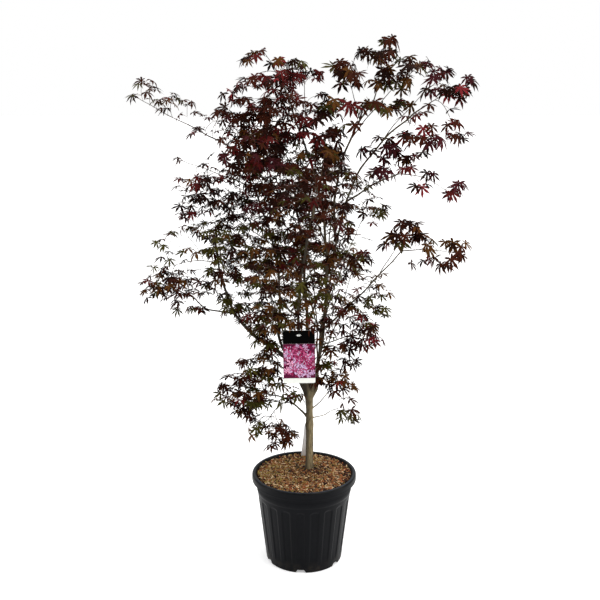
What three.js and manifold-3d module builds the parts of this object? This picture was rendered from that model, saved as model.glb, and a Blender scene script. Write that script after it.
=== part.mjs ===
// Potted Japanese maple: a young grafted tree in a round plastic nursery pot, topped with bark mulch.
// Millimetres, +Z up, +X to the right. The origin is the centre of the pot's flat underside.
// The trunk forks low into long, slender stems, and every mass of leaves is carried by one of them.
import * as THREE from "three";
import { mergeVertices } from "three/addons/utils/BufferGeometryUtils.js";
import Module from "manifold-3d";

const wasm = await Module();
wasm.setup();

const GAP = 0.4; // clearance between pieces that lie on each other

// Pot
const POT_HEIGHT = 281;
const POT_RIM_RADIUS = 160;
const POT_WALL = 3;
const POT_FLOOR = 14;
const FOOT_RADIUS = 117;
const WALL_FLARE = 0.118; // radius gained for each millimetre of height
const RIM_LEDGE_HEIGHT = 243;
const COLLAR_FOOT = 205;
const COLLAR_PROUD = 1.5;
const FLUTE_COUNT = 20;
const FLUTE_DEPTH = 3;
const FLUTE_FOOT = 20;
const NOTCH_COUNT = 6;
const NOTCH_HEIGHT = 11;
const NOTCH_WIDE = 32;
const NOTCH_NARROW = 20;
const NOTCH_INNER_RADIUS = 88;
const NOTCH_TURN_DEG = -5; // of the first notch, from the front towards +X

// Root ball and mulch
const COMPOST_TOP = 258;
const MULCH_EDGE_TOP = 276;
const MULCH_MOUND_TOP = 280;
const MULCH_MOUND_RADIUS = 62;
const MULCH_FLAT_RADIUS = 26;

// Trunk
const TRUNK_FOOT = [17, 29, MULCH_MOUND_TOP + GAP];
const TRUNK_TOP = [15, 30, 524];
const TRUNK_BOW = [3, 0, 0];
const TRUNK_SIDES = 10;
const TRUNK_GIRTHS = [ // [share of the height, diameter]: root flare, bole, graft knuckle, neck, fork
  [0, 25.5], [0.08, 22], [0.33, 20.5], [0.52, 21], [0.59, 23], [0.68, 19.5], [0.77, 18.5], [0.91, 23], [1, 24.5],
];

// Picture card, its strap and the stick label
const CARD = { width: 92, height: 158, thick: 1.2, corner: 5 };
const CARD_SLOT = { width: 12, height: 5, drop: 12 };
const STRAP = { on: "stem_front", at: 0.424, long: 20, wide: 9, thick: 1, slopeDeg: 50, hang: 12.5 }; // hang: its centre below the stem's
const STICK = { width: 18, thick: 0.9, foot: [-1, 131, MULCH_EDGE_TOP + 3.3], head: [11, 65, 414] };

// Limbs: name, the piece that it grows from, the share of that piece's length where it starts, its far end, how far
// its middle bows off the straight line or a list of points that it runs through, its diameters at foot and tip, and
// the mass that it enters.
const LIMBS = [
  ["stem_centre", "trunk", 0.95, [-30, 50, 1350], [74, 5, 10], [14.5, 6], "plume_left"],
  ["stem_left", "trunk", 0.93, [-262, 30, 985],
    [[-5, 24, 555], [-31, 20, 602], [-62, 17, 645], [-108, 15, 682], [-160, 17, 716], [-212, 20, 785], [-244, 25, 880]],
    [15, 6], "tier_left"],
  ["stem_right", "trunk", 0.9, [310, 50, 1356],
    [[38, 30, 540], [44, 30, 610], [52, 32, 725], [80, 36, 900], [104, 40, 1035], [152, 44, 1178], [240, 48, 1296]],
    [10, 5], "spray_far_right"],
  ["stem_back", "trunk", 0.97, [-35, 245, 1130], [15, 30, -10], [13, 6], "crown_back_high"],
  ["stem_front", "trunk", 0.97, [25, -180, 1120], [-36, -8, -30], [12, 5], "crown_front_high"],
  ["stem_far_left", "stem_left", 0.2, [-212, 60, 1262],
    [[-76, 28, 700], [-73, 38, 830], [-88, 46, 970], [-136, 54, 1120]], [11, 5], "shoulder_left"],
  ["arm_low_left", "stem_left", 0.62, [-326, 12, 826], [[-252, 14, 786], [-290, 12, 796]], [7, 4], "spray_low_arm_left"],
  ["limb_top_right", "stem_right", 0.53, [196, 65, 1386], [-44, 5, 12], [9, 4.5], "crest_right"],
  ["arm_right", "stem_right", 0.24, [285, 20, 965], [0, 0, -6], [8, 4], "spray_arm_right"],
  ["limb_droop", "stem_right", 0.66, [268, -10, 1192], [8, 0, 14], [6, 3.5], "spray_droop_right"],
  ["arm_back", "stem_back", 0.34, [95, 305, 905], [0, 10, -14], [8, 4.5], "crown_back_low"],
  ["arm_front", "stem_front", 0.47, [-70, -240, 900], [-5, -10, -6], [7, 4.5], "crown_front_low"],
  ["branch_low_left", "trunk", 0.65, [-100, 5, 526], [[-8, 20, 467], [-34, 14, 495], [-64, 8, 515]], [8, 4.5], "skirt_left"],
  ["twig_skirt_droop", "branch_low_left", 0.47, [-108, -22, 458], [[-54, 8, 500], [-80, -6, 488]], [5, 3.5], "skirt_left_droop"],
  ["branch_skirt_upper", "stem_left", 0.16, [-88, -5, 632], [0, 0, -7], [6, 4], "skirt_left_upper"],
  ["branch_low_right", "trunk", 0.67, [78, 10, 472], [0, 0, -4], [5, 3.5], "skirt_right"],
  ["branch_right_upper", "trunk", 0.77, [84, 15, 548], [1, 0, -4], [5, 3.5], "skirt_right_upper"],
  ["branch_right_tip", "stem_right", 0.19, [160, 15, 712], [0, 0, 4], [6, 3.5], "tip_low_right"],
  ["branch_right_droop", "stem_right", 0.1, [78, 10, 652], [2, 0, 6], [6, 3.5], "droop_low_right"],
].map(([name, on, at, tip, bow, girth, feeds]) => ({ name, on, at, tip, bow, girth, feeds }));

// Masses of leaves: centre, half sizes, roll in the XZ plane in degrees (positive lifts the -X end) and how finely
// the skin is divided. An earlier mass is whole and a later one is cut round it.
const MASSES = [
  { name: "spray_far_left", at: [-380, 45, 1370], half: [162, 66, 52], tilt: 29, fine: 2 },
  { name: "shoulder_left", at: [-236, 55, 1318], half: [76, 100, 58], tilt: 12, fine: 1 },
  { name: "plume_left", at: [-80, 55, 1410], half: [138, 136, 84], tilt: 4, fine: 2 },
  { name: "plume_left_tip", at: [-94, 45, 1508], half: [92, 74, 44], tilt: -4, fine: 1 },
  { name: "crown_upper_left", at: [-122, 40, 1262], half: [122, 162, 92], tilt: 8, fine: 1 },
  { name: "tier_upper_left", at: [-272, 30, 1146], half: [112, 112, 72], tilt: 8, fine: 1 },
  { name: "crown_left", at: [-112, 45, 1112], half: [100, 178, 76], tilt: 0, fine: 1 },
  { name: "tier_left", at: [-298, 20, 998], half: [134, 108, 60], tilt: -6, fine: 2 },
  { name: "spray_low_arm_left", at: [-378, 5, 858], half: [126, 76, 54], tilt: 12, fine: 2 },
  { name: "crown_mid_left", at: [-158, 35, 958], half: [120, 176, 88], tilt: 4, fine: 1 },
  { name: "crown_low_left", at: [-142, 30, 802], half: [110, 134, 94], tilt: 20, fine: 1 },
  { name: "crown_top", at: [66, 60, 1330], half: [72, 112, 98], tilt: 0, fine: 1 },
  { name: "crown_upper", at: [58, 50, 1196], half: [84, 166, 64], tilt: 0, fine: 1 },
  { name: "crown_heart", at: [38, 45, 1064], half: [96, 176, 72], tilt: 0, fine: 1 },
  { name: "crown_mid", at: [66, 42, 862], half: [100, 160, 132], tilt: 6, fine: 1 },
  { name: "tip_top_right", at: [222, 60, 1530], half: [62, 64, 52], tilt: 0, fine: 1 },
  { name: "crest_right", at: [208, 68, 1426], half: [126, 112, 76], tilt: -8, fine: 2 },
  { name: "spray_far_right", at: [392, 52, 1404], half: [100, 100, 84], tilt: -6, fine: 2 },
  { name: "shoulder_right", at: [268, 40, 1264], half: [98, 96, 54], tilt: -24, fine: 1 },
  { name: "spray_droop_right", at: [332, -15, 1172], half: [108, 56, 42], tilt: 12, fine: 1 },
  { name: "crown_right", at: [186, 40, 1136], half: [72, 124, 66], tilt: 0, fine: 1 },
  { name: "spray_arm_right", at: [350, 20, 976], half: [142, 76, 60], tilt: 5, fine: 2 },
  { name: "crown_low_right", at: [176, 30, 820], half: [70, 100, 68], tilt: 8, fine: 1 },
  { name: "tip_low_right", at: [172, 15, 724], half: [72, 56, 40], tilt: 4, fine: 1 },
  { name: "droop_low_right", at: [100, 8, 650], half: [62, 56, 40], tilt: 32, fine: 1 },
  { name: "skirt_left_upper", at: [-122, 0, 632], half: [76, 78, 40], tilt: -14, fine: 1 },
  { name: "skirt_left", at: [-158, 5, 545], half: [100, 82, 46], tilt: 9, fine: 1 },
  { name: "skirt_left_droop", at: [-98, -30, 432], half: [72, 50, 44], tilt: 20, fine: 1 },
  { name: "skirt_right_upper", at: [100, 12, 570], half: [54, 54, 32], tilt: 4, fine: 1 },
  { name: "skirt_right", at: [116, 10, 482], half: [64, 52, 28], tilt: 12, fine: 1 },
  { name: "crown_back_high", at: [-30, 292, 1180], half: [140, 98, 120], tilt: 6, fine: 2 },
  { name: "crown_back_low", at: [30, 300, 905], half: [152, 104, 100], tilt: -6, fine: 2 },
  { name: "crown_front_high", at: [10, -222, 1152], half: [112, 92, 98], tilt: -4, fine: 2 },
  { name: "crown_front_low", at: [-40, -232, 892], half: [128, 96, 86], tilt: 6, fine: 2 },
];

const LIMB_SIDES = 6;
const LIMB_STEP = 120; // length of one facet along a limb
const LUMP = 0.18; // how far a mass's skin strays from its ellipsoid

const rad = THREE.MathUtils.degToRad;

// ---------------------------------------------------------------- solids
function solidFrom(geometry) {
  const bare = geometry.clone();
  bare.deleteAttribute("normal");
  bare.deleteAttribute("uv");
  const merged = mergeVertices(bare, 1e-3);
  return new wasm.Manifold(new wasm.Mesh({
    numProp: 3,
    vertProperties: new Float32Array(merged.attributes.position.array),
    triVerts: new Uint32Array(merged.index.array),
  }));
}

function geometryFrom(solid) {
  const mesh = solid.getMesh();
  const points = new Float32Array(mesh.numVert * 3);
  for (let i = 0; i < mesh.numVert; i++) {
    points.set(mesh.vertProperties.subarray(i * mesh.numProp, i * mesh.numProp + 3), i * 3);
  }
  const geometry = new THREE.BufferGeometry();
  geometry.setAttribute("position", new THREE.BufferAttribute(points, 3));
  geometry.setIndex(new THREE.BufferAttribute(new Uint32Array(mesh.triVerts), 1));
  const shaded = geometry.toNonIndexed();
  shaded.computeVertexNormals();
  return shaded;
}

// The largest body of a solid, so that a cut leaves no slivers behind.
function largest(solid) {
  return solid.decompose().reduce((a, b) => (b.volume() > a.volume() ? b : a));
}

function boxesMeet(a, b) {
  const p = a.boundingBox();
  const q = b.boundingBox();
  return [0, 1, 2].every((k) => p.min[k] <= q.max[k] && q.min[k] <= p.max[k]);
}

function cutBy(solid, cutters) {
  let left = solid;
  for (const cutter of cutters) {
    if (boxesMeet(left, cutter)) left = left.subtract(cutter);
  }
  return largest(left);
}

// ---------------------------------------------------------------- pot, root ball, mulch
const wallRadius = (z) => FOOT_RADIUS + WALL_FLARE * z;

function potGeometry() {
  const outer = [
    [0, 0],
    [FOOT_RADIUS - 3, 0],
    [wallRadius(5), 5],
    [wallRadius(FLUTE_FOOT - 4), FLUTE_FOOT - 4],
    [wallRadius(FLUTE_FOOT + 6), FLUTE_FOOT + 6],
    [wallRadius(COLLAR_FOOT - 10), COLLAR_FOOT - 10],
    [wallRadius(COLLAR_FOOT) + COLLAR_PROUD, COLLAR_FOOT],
    [wallRadius(RIM_LEDGE_HEIGHT) + COLLAR_PROUD, RIM_LEDGE_HEIGHT],
    [POT_RIM_RADIUS, POT_HEIGHT - 20],
    [POT_RIM_RADIUS, POT_HEIGHT - 5],
    [POT_RIM_RADIUS - 5, POT_HEIGHT],
  ];
  const inner = [
    [POT_RIM_RADIUS - 11, POT_HEIGHT],
    [wallRadius(POT_HEIGHT - 7) - POT_WALL, POT_HEIGHT - 7],
    [wallRadius(POT_FLOOR) - POT_WALL - FLUTE_DEPTH, POT_FLOOR],
    [0, POT_FLOOR],
  ];
  const profile = [...outer, ...inner].map(([r, z]) => new THREE.Vector2(r, z));
  const geometry = new THREE.LatheGeometry(profile, FLUTE_COUNT * 2);
  geometry.rotateX(Math.PI / 2); // the lathe's Y axis becomes +Z
  return geometry;
}

// Presses every other column of the wall in, which leaves FLUTE_COUNT upright ribs.
function flute(geometry) {
  const p = geometry.attributes.position;
  const low = FLUTE_FOOT;
  const high = COLLAR_FOOT - 5;
  for (let i = 0; i < p.count; i++) {
    const r = Math.hypot(p.getX(i), p.getY(i));
    const z = p.getZ(i);
    if (z < low || z > high || r < wallRadius(z) - 1) continue;
    const column = Math.round((Math.atan2(p.getY(i), p.getX(i)) / Math.PI) * FLUTE_COUNT);
    if (column % 2 === 0) continue;
    const share = (r - FLUTE_DEPTH) / r;
    p.setXY(i, p.getX(i) * share, p.getY(i) * share);
  }
  return geometry;
}

function notchGeometry(turn) {
  const shape = new THREE.Shape([
    new THREE.Vector2(-NOTCH_WIDE / 2, -5),
    new THREE.Vector2(NOTCH_WIDE / 2, -5),
    new THREE.Vector2(NOTCH_NARROW / 2, NOTCH_HEIGHT),
    new THREE.Vector2(-NOTCH_NARROW / 2, NOTCH_HEIGHT),
  ]);
  const geometry = new THREE.ExtrudeGeometry(shape, { depth: FOOT_RADIUS, bevelEnabled: false });
  geometry.rotateX(Math.PI / 2); // drawn upright, pulled towards -Y
  geometry.translate(0, -NOTCH_INNER_RADIUS, 0);
  geometry.rotateZ(turn);
  return geometry;
}

function potSolid() {
  const notches = Array.from({ length: NOTCH_COUNT }, (_, i) => {
    const turn = rad(NOTCH_TURN_DEG) + (i * 2 * Math.PI) / NOTCH_COUNT;
    return solidFrom(notchGeometry(turn));
  });
  return cutBy(solidFrom(flute(potGeometry())), notches);
}

// A round plug that fits the inside of the pot from one height to another.
function fillSolid(from, to, segments) {
  const innerRadius = (z) => wallRadius(z) - POT_WALL - FLUTE_DEPTH - 2 * GAP;
  const profile = [[0, from], [innerRadius(from), from], [innerRadius(to), to], [0, to]];
  const geometry = new THREE.LatheGeometry(profile.map(([r, z]) => new THREE.Vector2(r, z)), segments);
  geometry.rotateX(Math.PI / 2);
  return solidFrom(geometry);
}

function mulchSolid() {
  const reach = POT_RIM_RADIUS * 1.6;
  const profile = [
    [0, COMPOST_TOP + GAP],
    [reach, COMPOST_TOP + GAP],
    [reach, MULCH_EDGE_TOP],
    [MULCH_MOUND_RADIUS, MULCH_EDGE_TOP + 2],
    [MULCH_FLAT_RADIUS, MULCH_MOUND_TOP],
    [0, MULCH_MOUND_TOP],
  ].map(([r, z]) => new THREE.Vector2(r, z));
  const heap = new THREE.LatheGeometry(profile, 16);
  heap.rotateX(Math.PI / 2);
  heap.translate(TRUNK_FOOT[0], TRUNK_FOOT[1], 0);
  return solidFrom(heap).intersect(fillSolid(COMPOST_TOP + GAP, POT_HEIGHT, 32));
}

// ---------------------------------------------------------------- trunk and limbs
function bowedCurve(foot, tip, bow) {
  if (Array.isArray(bow)) {
    return new THREE.CatmullRomCurve3([foot, ...bow.map((v) => new THREE.Vector3(...v)), tip], false, "centripetal");
  }
  const middle = foot.clone().lerp(tip, 0.5).add(bow);
  const handle = middle.multiplyScalar(2).sub(foot.clone().add(tip).multiplyScalar(0.5));
  return new THREE.QuadraticBezierCurve3(foot, handle, tip);
}

// A closed, tapering tube: a cylinder whose rings are carried along the curve. `radiusAt` takes a share of the
// curve's length, and `level` keeps every ring horizontal.
function tubeGeometry(curve, radiusAt, sides, steps, level = false) {
  const frames = curve.computeFrenetFrames(steps, false);
  const geometry = new THREE.CylinderGeometry(1, 1, 1, sides, steps);
  const p = geometry.attributes.position;
  const point = new THREE.Vector3();
  for (let i = 0; i < p.count; i++) {
    const share = p.getY(i) + 0.5;
    const ring = Math.round(share * steps);
    const radius = radiusAt(share);
    const across = level ? new THREE.Vector3(1, 0, 0) : frames.normals[ring];
    const aside = level ? new THREE.Vector3(0, 1, 0) : frames.binormals[ring];
    curve.getPointAt(ring / steps, point);
    point.addScaledVector(across, p.getX(i) * radius);
    point.addScaledVector(aside, p.getZ(i) * radius * (level ? -1 : 1));
    p.setXYZ(i, point.x, point.y, point.z);
  }
  return geometry;
}

// A closed solid that faces out, whichever way its tube was wound.
function facingOut(geometry) {
  const solid = solidFrom(geometry);
  if (solid.volume() > 0) return solid;
  const flipped = geometry.index ? geometry.toNonIndexed() : geometry.clone();
  const a = flipped.attributes.position.array;
  for (let i = 0; i < a.length; i += 9) {
    for (let k = 0; k < 3; k++) [a[i + k], a[i + 3 + k]] = [a[i + 3 + k], a[i + k]];
  }
  return solidFrom(flipped);
}

function girthAt(girths, share) {
  for (let i = 1; i < girths.length; i++) {
    const [s0, d0] = girths[i - 1];
    const [s1, d1] = girths[i];
    if (share <= s1) return THREE.MathUtils.lerp(d0, d1, (share - s0) / (s1 - s0));
  }
  return girths[girths.length - 1][1];
}

const curves = new Map();
curves.set("trunk", bowedCurve(
  new THREE.Vector3(...TRUNK_FOOT), new THREE.Vector3(...TRUNK_TOP), new THREE.Vector3(...TRUNK_BOW),
));
for (const limb of LIMBS) {
  const foot = curves.get(limb.on).getPointAt(limb.at);
  const bow = Array.isArray(limb.bow[0]) ? limb.bow : new THREE.Vector3(...limb.bow);
  curves.set(limb.name, bowedCurve(foot, new THREE.Vector3(...limb.tip), bow));
}

function trunkSolid(swell) {
  const radiusAt = (share) => girthAt(TRUNK_GIRTHS, share) / 2 + swell;
  return facingOut(tubeGeometry(curves.get("trunk"), radiusAt, TRUNK_SIDES, 14, true));
}

function limbSolid(limb, swell) {
  const curve = curves.get(limb.name);
  const step = curve.isCatmullRomCurve3 ? LIMB_STEP / 2 : LIMB_STEP;
  const steps = Math.max(3, Math.round(curve.getLength() / step));
  const radiusAt = (share) => THREE.MathUtils.lerp(limb.girth[0], limb.girth[1], share) / 2 + swell;
  return facingOut(tubeGeometry(curve, radiusAt, LIMB_SIDES, steps));
}

// ---------------------------------------------------------------- masses of leaves
// A lumpy ellipsoid. Each mass has its own waves, from its place in the list, so no two have one shape.
function massSolid(mass, index, swell) {
  const geometry = mergeVertices(bareIcosahedron(mass.fine));
  const p = geometry.attributes.position;
  const turn = new THREE.Matrix4().makeRotationY(rad(mass.tilt));
  const v = new THREE.Vector3();
  for (let i = 0; i < p.count; i++) {
    v.fromBufferAttribute(p, i);
    const wave = Math.sin(2.3 * v.x + 1.7 * index) * Math.cos(2.9 * v.y + 0.9 * index)
      + 0.6 * Math.sin(3.7 * v.z + 2.1 * index + 1.3 * v.x);
    const reach = 1 + LUMP * wave;
    v.set(
      v.x * (mass.half[0] * reach + swell),
      v.y * (mass.half[1] * reach + swell),
      v.z * (mass.half[2] * reach + swell),
    );
    v.applyMatrix4(turn);
    p.setXYZ(i, v.x + mass.at[0], v.y + mass.at[1], v.z + mass.at[2]);
  }
  return solidFrom(geometry);
}

function bareIcosahedron(fine) {
  const geometry = new THREE.IcosahedronGeometry(1, fine);
  geometry.deleteAttribute("normal");
  geometry.deleteAttribute("uv");
  return geometry;
}

// ---------------------------------------------------------------- card, strap and stick label
// The strap is a closed loop round its stem. Its low end passes through the card's slot.
const strapReach = new THREE.Vector3(0, -1, 0).applyAxisAngle(new THREE.Vector3(1, 0, 0), rad(STRAP.slopeDeg));
const strapCentre = curves.get(STRAP.on).getPointAt(STRAP.at).addScaledVector(strapReach, STRAP.hang);
const slotCentre = strapCentre.clone().addScaledVector(strapReach, STRAP.long);

function strapSolid() {
  const geometry = new THREE.TorusGeometry(STRAP.long, STRAP.thick, 5, 20);
  geometry.scale(STRAP.wide / STRAP.long, 1, 1);
  geometry.rotateX(rad(STRAP.slopeDeg));
  geometry.translate(...strapCentre.toArray());
  return facingOut(geometry);
}

function cardSolid() {
  const w = CARD.width / 2;
  const top = CARD_SLOT.drop + CARD_SLOT.height / 2; // measured up from the slot's centre
  const foot = top - CARD.height;
  const c = CARD.corner;
  const shape = new THREE.Shape();
  shape.moveTo(-w + c, foot);
  shape.lineTo(w - c, foot).quadraticCurveTo(w, foot, w, foot + c);
  shape.lineTo(w, top - c).quadraticCurveTo(w, top, w - c, top);
  shape.lineTo(-w + c, top).quadraticCurveTo(-w, top, -w, top - c);
  shape.lineTo(-w, foot + c).quadraticCurveTo(-w, foot, -w + c, foot);
  const slot = new THREE.Path([[-1, -1], [1, -1], [1, 1], [-1, 1]].map(
    ([x, y]) => new THREE.Vector2((x * CARD_SLOT.width) / 2, (y * CARD_SLOT.height) / 2),
  ));
  shape.holes.push(slot);
  const geometry = new THREE.ExtrudeGeometry(shape, { depth: CARD.thick, bevelEnabled: false, curveSegments: 3 });
  geometry.rotateX(Math.PI / 2);
  geometry.translate(slotCentre.x, slotCentre.y + CARD.thick / 2, slotCentre.z);
  return solidFrom(geometry);
}

function stickSolid() {
  const foot = new THREE.Vector3(...STICK.foot);
  const head = new THREE.Vector3(...STICK.head);
  const along = head.clone().sub(foot);
  const geometry = new THREE.BoxGeometry(STICK.width, STICK.thick, along.length());
  geometry.translate(0, 0, along.length() / 2);
  geometry.applyQuaternion(new THREE.Quaternion().setFromUnitVectors(
    new THREE.Vector3(0, 0, 1), along.normalize(),
  ));
  geometry.translate(...STICK.foot);
  return solidFrom(geometry);
}

// ---------------------------------------------------------------- assembly
const looks = {
  pot: { color: 0x17191b, roughness: 0.42, metalness: 0 },
  soil: { color: 0x2b1d14, roughness: 1, metalness: 0 },
  mulch: { color: 0x7a4e30, roughness: 0.95, metalness: 0 },
  bark: { color: 0x6b5a47, roughness: 0.85, metalness: 0 },
  leaves: { color: 0x3a1114, roughness: 0.6, metalness: 0 },
  card: { color: 0xb04a86, roughness: 0.35, metalness: 0 },
  plain: { color: 0xdfe3e6, roughness: 0.4, metalness: 0 },
};

const tree = new THREE.Group();

function add(name, look, solid) {
  const mesh = new THREE.Mesh(geometryFrom(solid), new THREE.MeshStandardMaterial(looks[look]));
  mesh.name = name;
  tree.add(mesh);
}

add("pot", "pot", potSolid());
add("compost", "soil", fillSolid(POT_FLOOR + GAP, COMPOST_TOP, 24));
add("mulch", "mulch", mulchSolid());
add("trunk", "bark", trunkSolid(0));

// Each limb is cut back by whatever was placed before it and by the mass that it enters.
const rawMasses = new Map(MASSES.map((mass, index) => [mass.name, { mass, index }]));
const wood = [{ name: "trunk", swollen: trunkSolid(GAP) }];
for (const limb of LIMBS) {
  const { mass, index } = rawMasses.get(limb.feeds);
  const cutters = [...wood.map((w) => w.swollen), massSolid(mass, index, GAP)];
  add(limb.name, "bark", cutBy(limbSolid(limb, 0), cutters));
  wood.push({ name: limb.name, swollen: limbSolid(limb, GAP) });
}

// Each mass is cut round the limbs that pass it and round the masses placed before it.
const placed = [];
for (const { mass, index } of rawMasses.values()) {
  const passing = LIMBS.filter((limb) => limb.feeds !== mass.name).map((limb) => limb.name);
  const cutters = wood.filter((w) => w.name === "trunk" || passing.includes(w.name)).map((w) => w.swollen);
  add(mass.name, "leaves", cutBy(massSolid(mass, index, 0), [...cutters, ...placed]));
  placed.push(massSolid(mass, index, GAP));
}

add("picture_card", "card", cutBy(cardSolid(), wood.map((w) => w.swollen)));
add("card_strap", "plain", strapSolid());
add("stick_label", "plain", stickSolid());

export default tree;
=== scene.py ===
import math
import random

import bpy
import bmesh
import numpy as np
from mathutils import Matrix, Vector, noise
from mathutils.geometry import tessellate_polygon
from mathutils.bvhtree import BVHTree
from mathutils.kdtree import KDTree


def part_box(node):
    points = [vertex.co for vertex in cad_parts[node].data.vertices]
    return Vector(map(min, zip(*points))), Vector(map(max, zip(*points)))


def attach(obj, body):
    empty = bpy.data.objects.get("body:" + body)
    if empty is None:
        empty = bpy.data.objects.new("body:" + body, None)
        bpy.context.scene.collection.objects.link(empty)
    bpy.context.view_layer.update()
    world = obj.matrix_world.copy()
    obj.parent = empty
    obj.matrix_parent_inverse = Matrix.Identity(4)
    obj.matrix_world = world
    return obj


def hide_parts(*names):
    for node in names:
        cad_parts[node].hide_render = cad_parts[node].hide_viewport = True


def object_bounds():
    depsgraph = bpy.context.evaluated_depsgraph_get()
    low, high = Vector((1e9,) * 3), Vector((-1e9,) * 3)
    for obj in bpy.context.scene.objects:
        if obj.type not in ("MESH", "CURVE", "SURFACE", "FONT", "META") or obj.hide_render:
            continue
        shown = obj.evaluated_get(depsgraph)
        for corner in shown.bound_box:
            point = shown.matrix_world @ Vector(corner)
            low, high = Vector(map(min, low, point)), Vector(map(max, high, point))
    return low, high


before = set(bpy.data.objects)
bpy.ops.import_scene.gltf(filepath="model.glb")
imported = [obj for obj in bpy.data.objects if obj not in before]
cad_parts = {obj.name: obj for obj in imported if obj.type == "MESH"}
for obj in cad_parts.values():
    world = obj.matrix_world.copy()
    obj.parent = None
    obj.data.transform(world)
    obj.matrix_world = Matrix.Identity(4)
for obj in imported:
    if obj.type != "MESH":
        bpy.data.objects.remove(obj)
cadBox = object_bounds()
mm = 0.001
print("frame loaded")

scene = bpy.context.scene
scene.view_settings.view_transform = "Standard"
white = (1, 1, 1, 1)


# material helpers
def tinted(colour, share=1.0, lift=0.0):
    # an sRGB colour of 0 to 255, scaled and lifted, as shaders take it
    parts = [min(c * share + lift, 255) / 255 for c in colour]
    return (*[c / 12.92 if c <= 0.04045 else ((c + 0.055) / 1.055) ** 2.4 for c in parts], 1.0)


class Graph:
    # short calls for laying out a node tree
    def __init__(self, tree):
        self.tree = tree

    def link(self, source, target):
        self.tree.links.new(source, target)

    def node(self, kind, inputs=None, **settings):
        made = self.tree.nodes.new(kind)
        for key, value in settings.items():
            setattr(made, key, value)
        for key, value in (inputs or {}).items():
            if isinstance(value, bpy.types.NodeSocket):
                self.link(value, made.inputs[key])
            else:
                made.inputs[key].default_value = value
        return made

    def send(self, targets, **sources):
        for name, source in sources.items():
            self.link(source, targets[name])

    def maths(self, operation, a, b=0.0, clamp=False):
        return self.node("ShaderNodeMath", {0: a, 1: b}, operation=operation, use_clamp=clamp).outputs[0]

    def plus(self, a, b, clamp=False):
        return self.maths("ADD", a, b, clamp)

    def minus(self, a, b, clamp=False):
        return self.maths("SUBTRACT", a, b, clamp)

    def times(self, a, b, clamp=False):
        return self.maths("MULTIPLY", a, b, clamp)

    def mix(self, factor, a, b):
        return self.node("ShaderNodeMix", {0: factor, 6: a, 7: b}, data_type="RGBA").outputs[2]

    def place(self):
        return self.node("ShaderNodeTexCoord").outputs["Object"]

    def axis(self, vector, number):
        return self.node("ShaderNodeSeparateXYZ", {0: vector}).outputs[number]

    def fade(self, value, start, end):
        inputs = {"Value": value, "From Min": start, "From Max": end}
        return self.node("ShaderNodeMapRange", inputs).outputs[0]

    def noise(self, place, scale, detail, roughness=0.5):
        inputs = {"Vector": place, "Scale": scale, "Detail": detail, "Roughness": roughness}
        return self.node("ShaderNodeTexNoise", inputs).outputs["Fac"]

    def group(self, tree, inputs):
        return self.node("ShaderNodeGroup", inputs, node_tree=tree).outputs

    def bump(self, shader, height, distance, strength):
        made = self.node("ShaderNodeBump", {"Height": height, "Distance": distance, "Strength": strength})
        self.link(made.outputs[0], shader.inputs["Normal"])


def newGroup(name, inputs, outputs):
    tree = bpy.data.node_groups.new(name, "ShaderNodeTree")
    for socketName, default in inputs.items():
        kind = "NodeSocketColor" if isinstance(default, tuple) else "NodeSocketFloat"
        socket = tree.interface.new_socket(name=socketName, in_out="INPUT", socket_type=kind)
        socket.default_value = default
    for socketName in outputs:
        kind = "NodeSocketColor" if socketName == "Color" else "NodeSocketFloat"
        tree.interface.new_socket(name=socketName, in_out="OUTPUT", socket_type=kind)
    g = Graph(tree)
    return tree, g, g.node("NodeGroupInput").outputs, g.node("NodeGroupOutput").inputs


def makeMottleGroup():
    # soft, uneven change of colour, with a matching height
    tree, g, given, out = newGroup("mottle", {
        "Scale": 30.0, "Stretch": 1.0, "Contrast": 0.6, "Dark": (0, 0, 0, 1), "Light": white,
    }, ("Color", "Mask", "Height"))
    x, y, z = g.node("ShaderNodeSeparateXYZ", {0: g.place()}).outputs
    tall = g.maths("DIVIDE", z, given["Stretch"])
    squeezed = g.node("ShaderNodeCombineXYZ", {0: x, 1: y, 2: tall}).outputs[0]
    coarse = g.noise(squeezed, given["Scale"], 5.0, 0.6)
    mask = g.plus(g.times(g.minus(coarse, 0.5), given["Contrast"]), 0.5, clamp=True)
    g.send(out, Color=g.mix(mask, given["Dark"], given["Light"]), Mask=mask, Height=coarse)
    return tree


def makeDustGroup():
    # pale dust that settles on what faces up and near the ground
    tree, g, given, out = newGroup("dust", {
        "Color": (0.1, 0.1, 0.1, 1), "Dust": (0.4, 0.35, 0.3, 1), "Amount": 0.3, "Reach": 0.06, "Scale": 60.0,
    }, ("Color", "Mask"))
    place = g.place()
    facing = g.axis(g.node("ShaderNodeNewGeometry").outputs["Normal"], 2)
    low = g.minus(1.0, g.maths("DIVIDE", g.axis(place, 2), given["Reach"]), clamp=True)
    upward = g.times(g.maths("MAXIMUM", facing, 0.0), 0.7)
    flecks = g.noise(place, given["Scale"], 6.0, 0.7)
    patchy = g.times(g.minus(flecks, 0.42), 4.0, clamp=True)
    mask = g.times(g.times(g.maths("MAXIMUM", low, upward), patchy), given["Amount"], clamp=True)
    g.send(out, Color=g.mix(mask, given["Color"], given["Dust"]), Mask=mask)
    return tree


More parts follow.
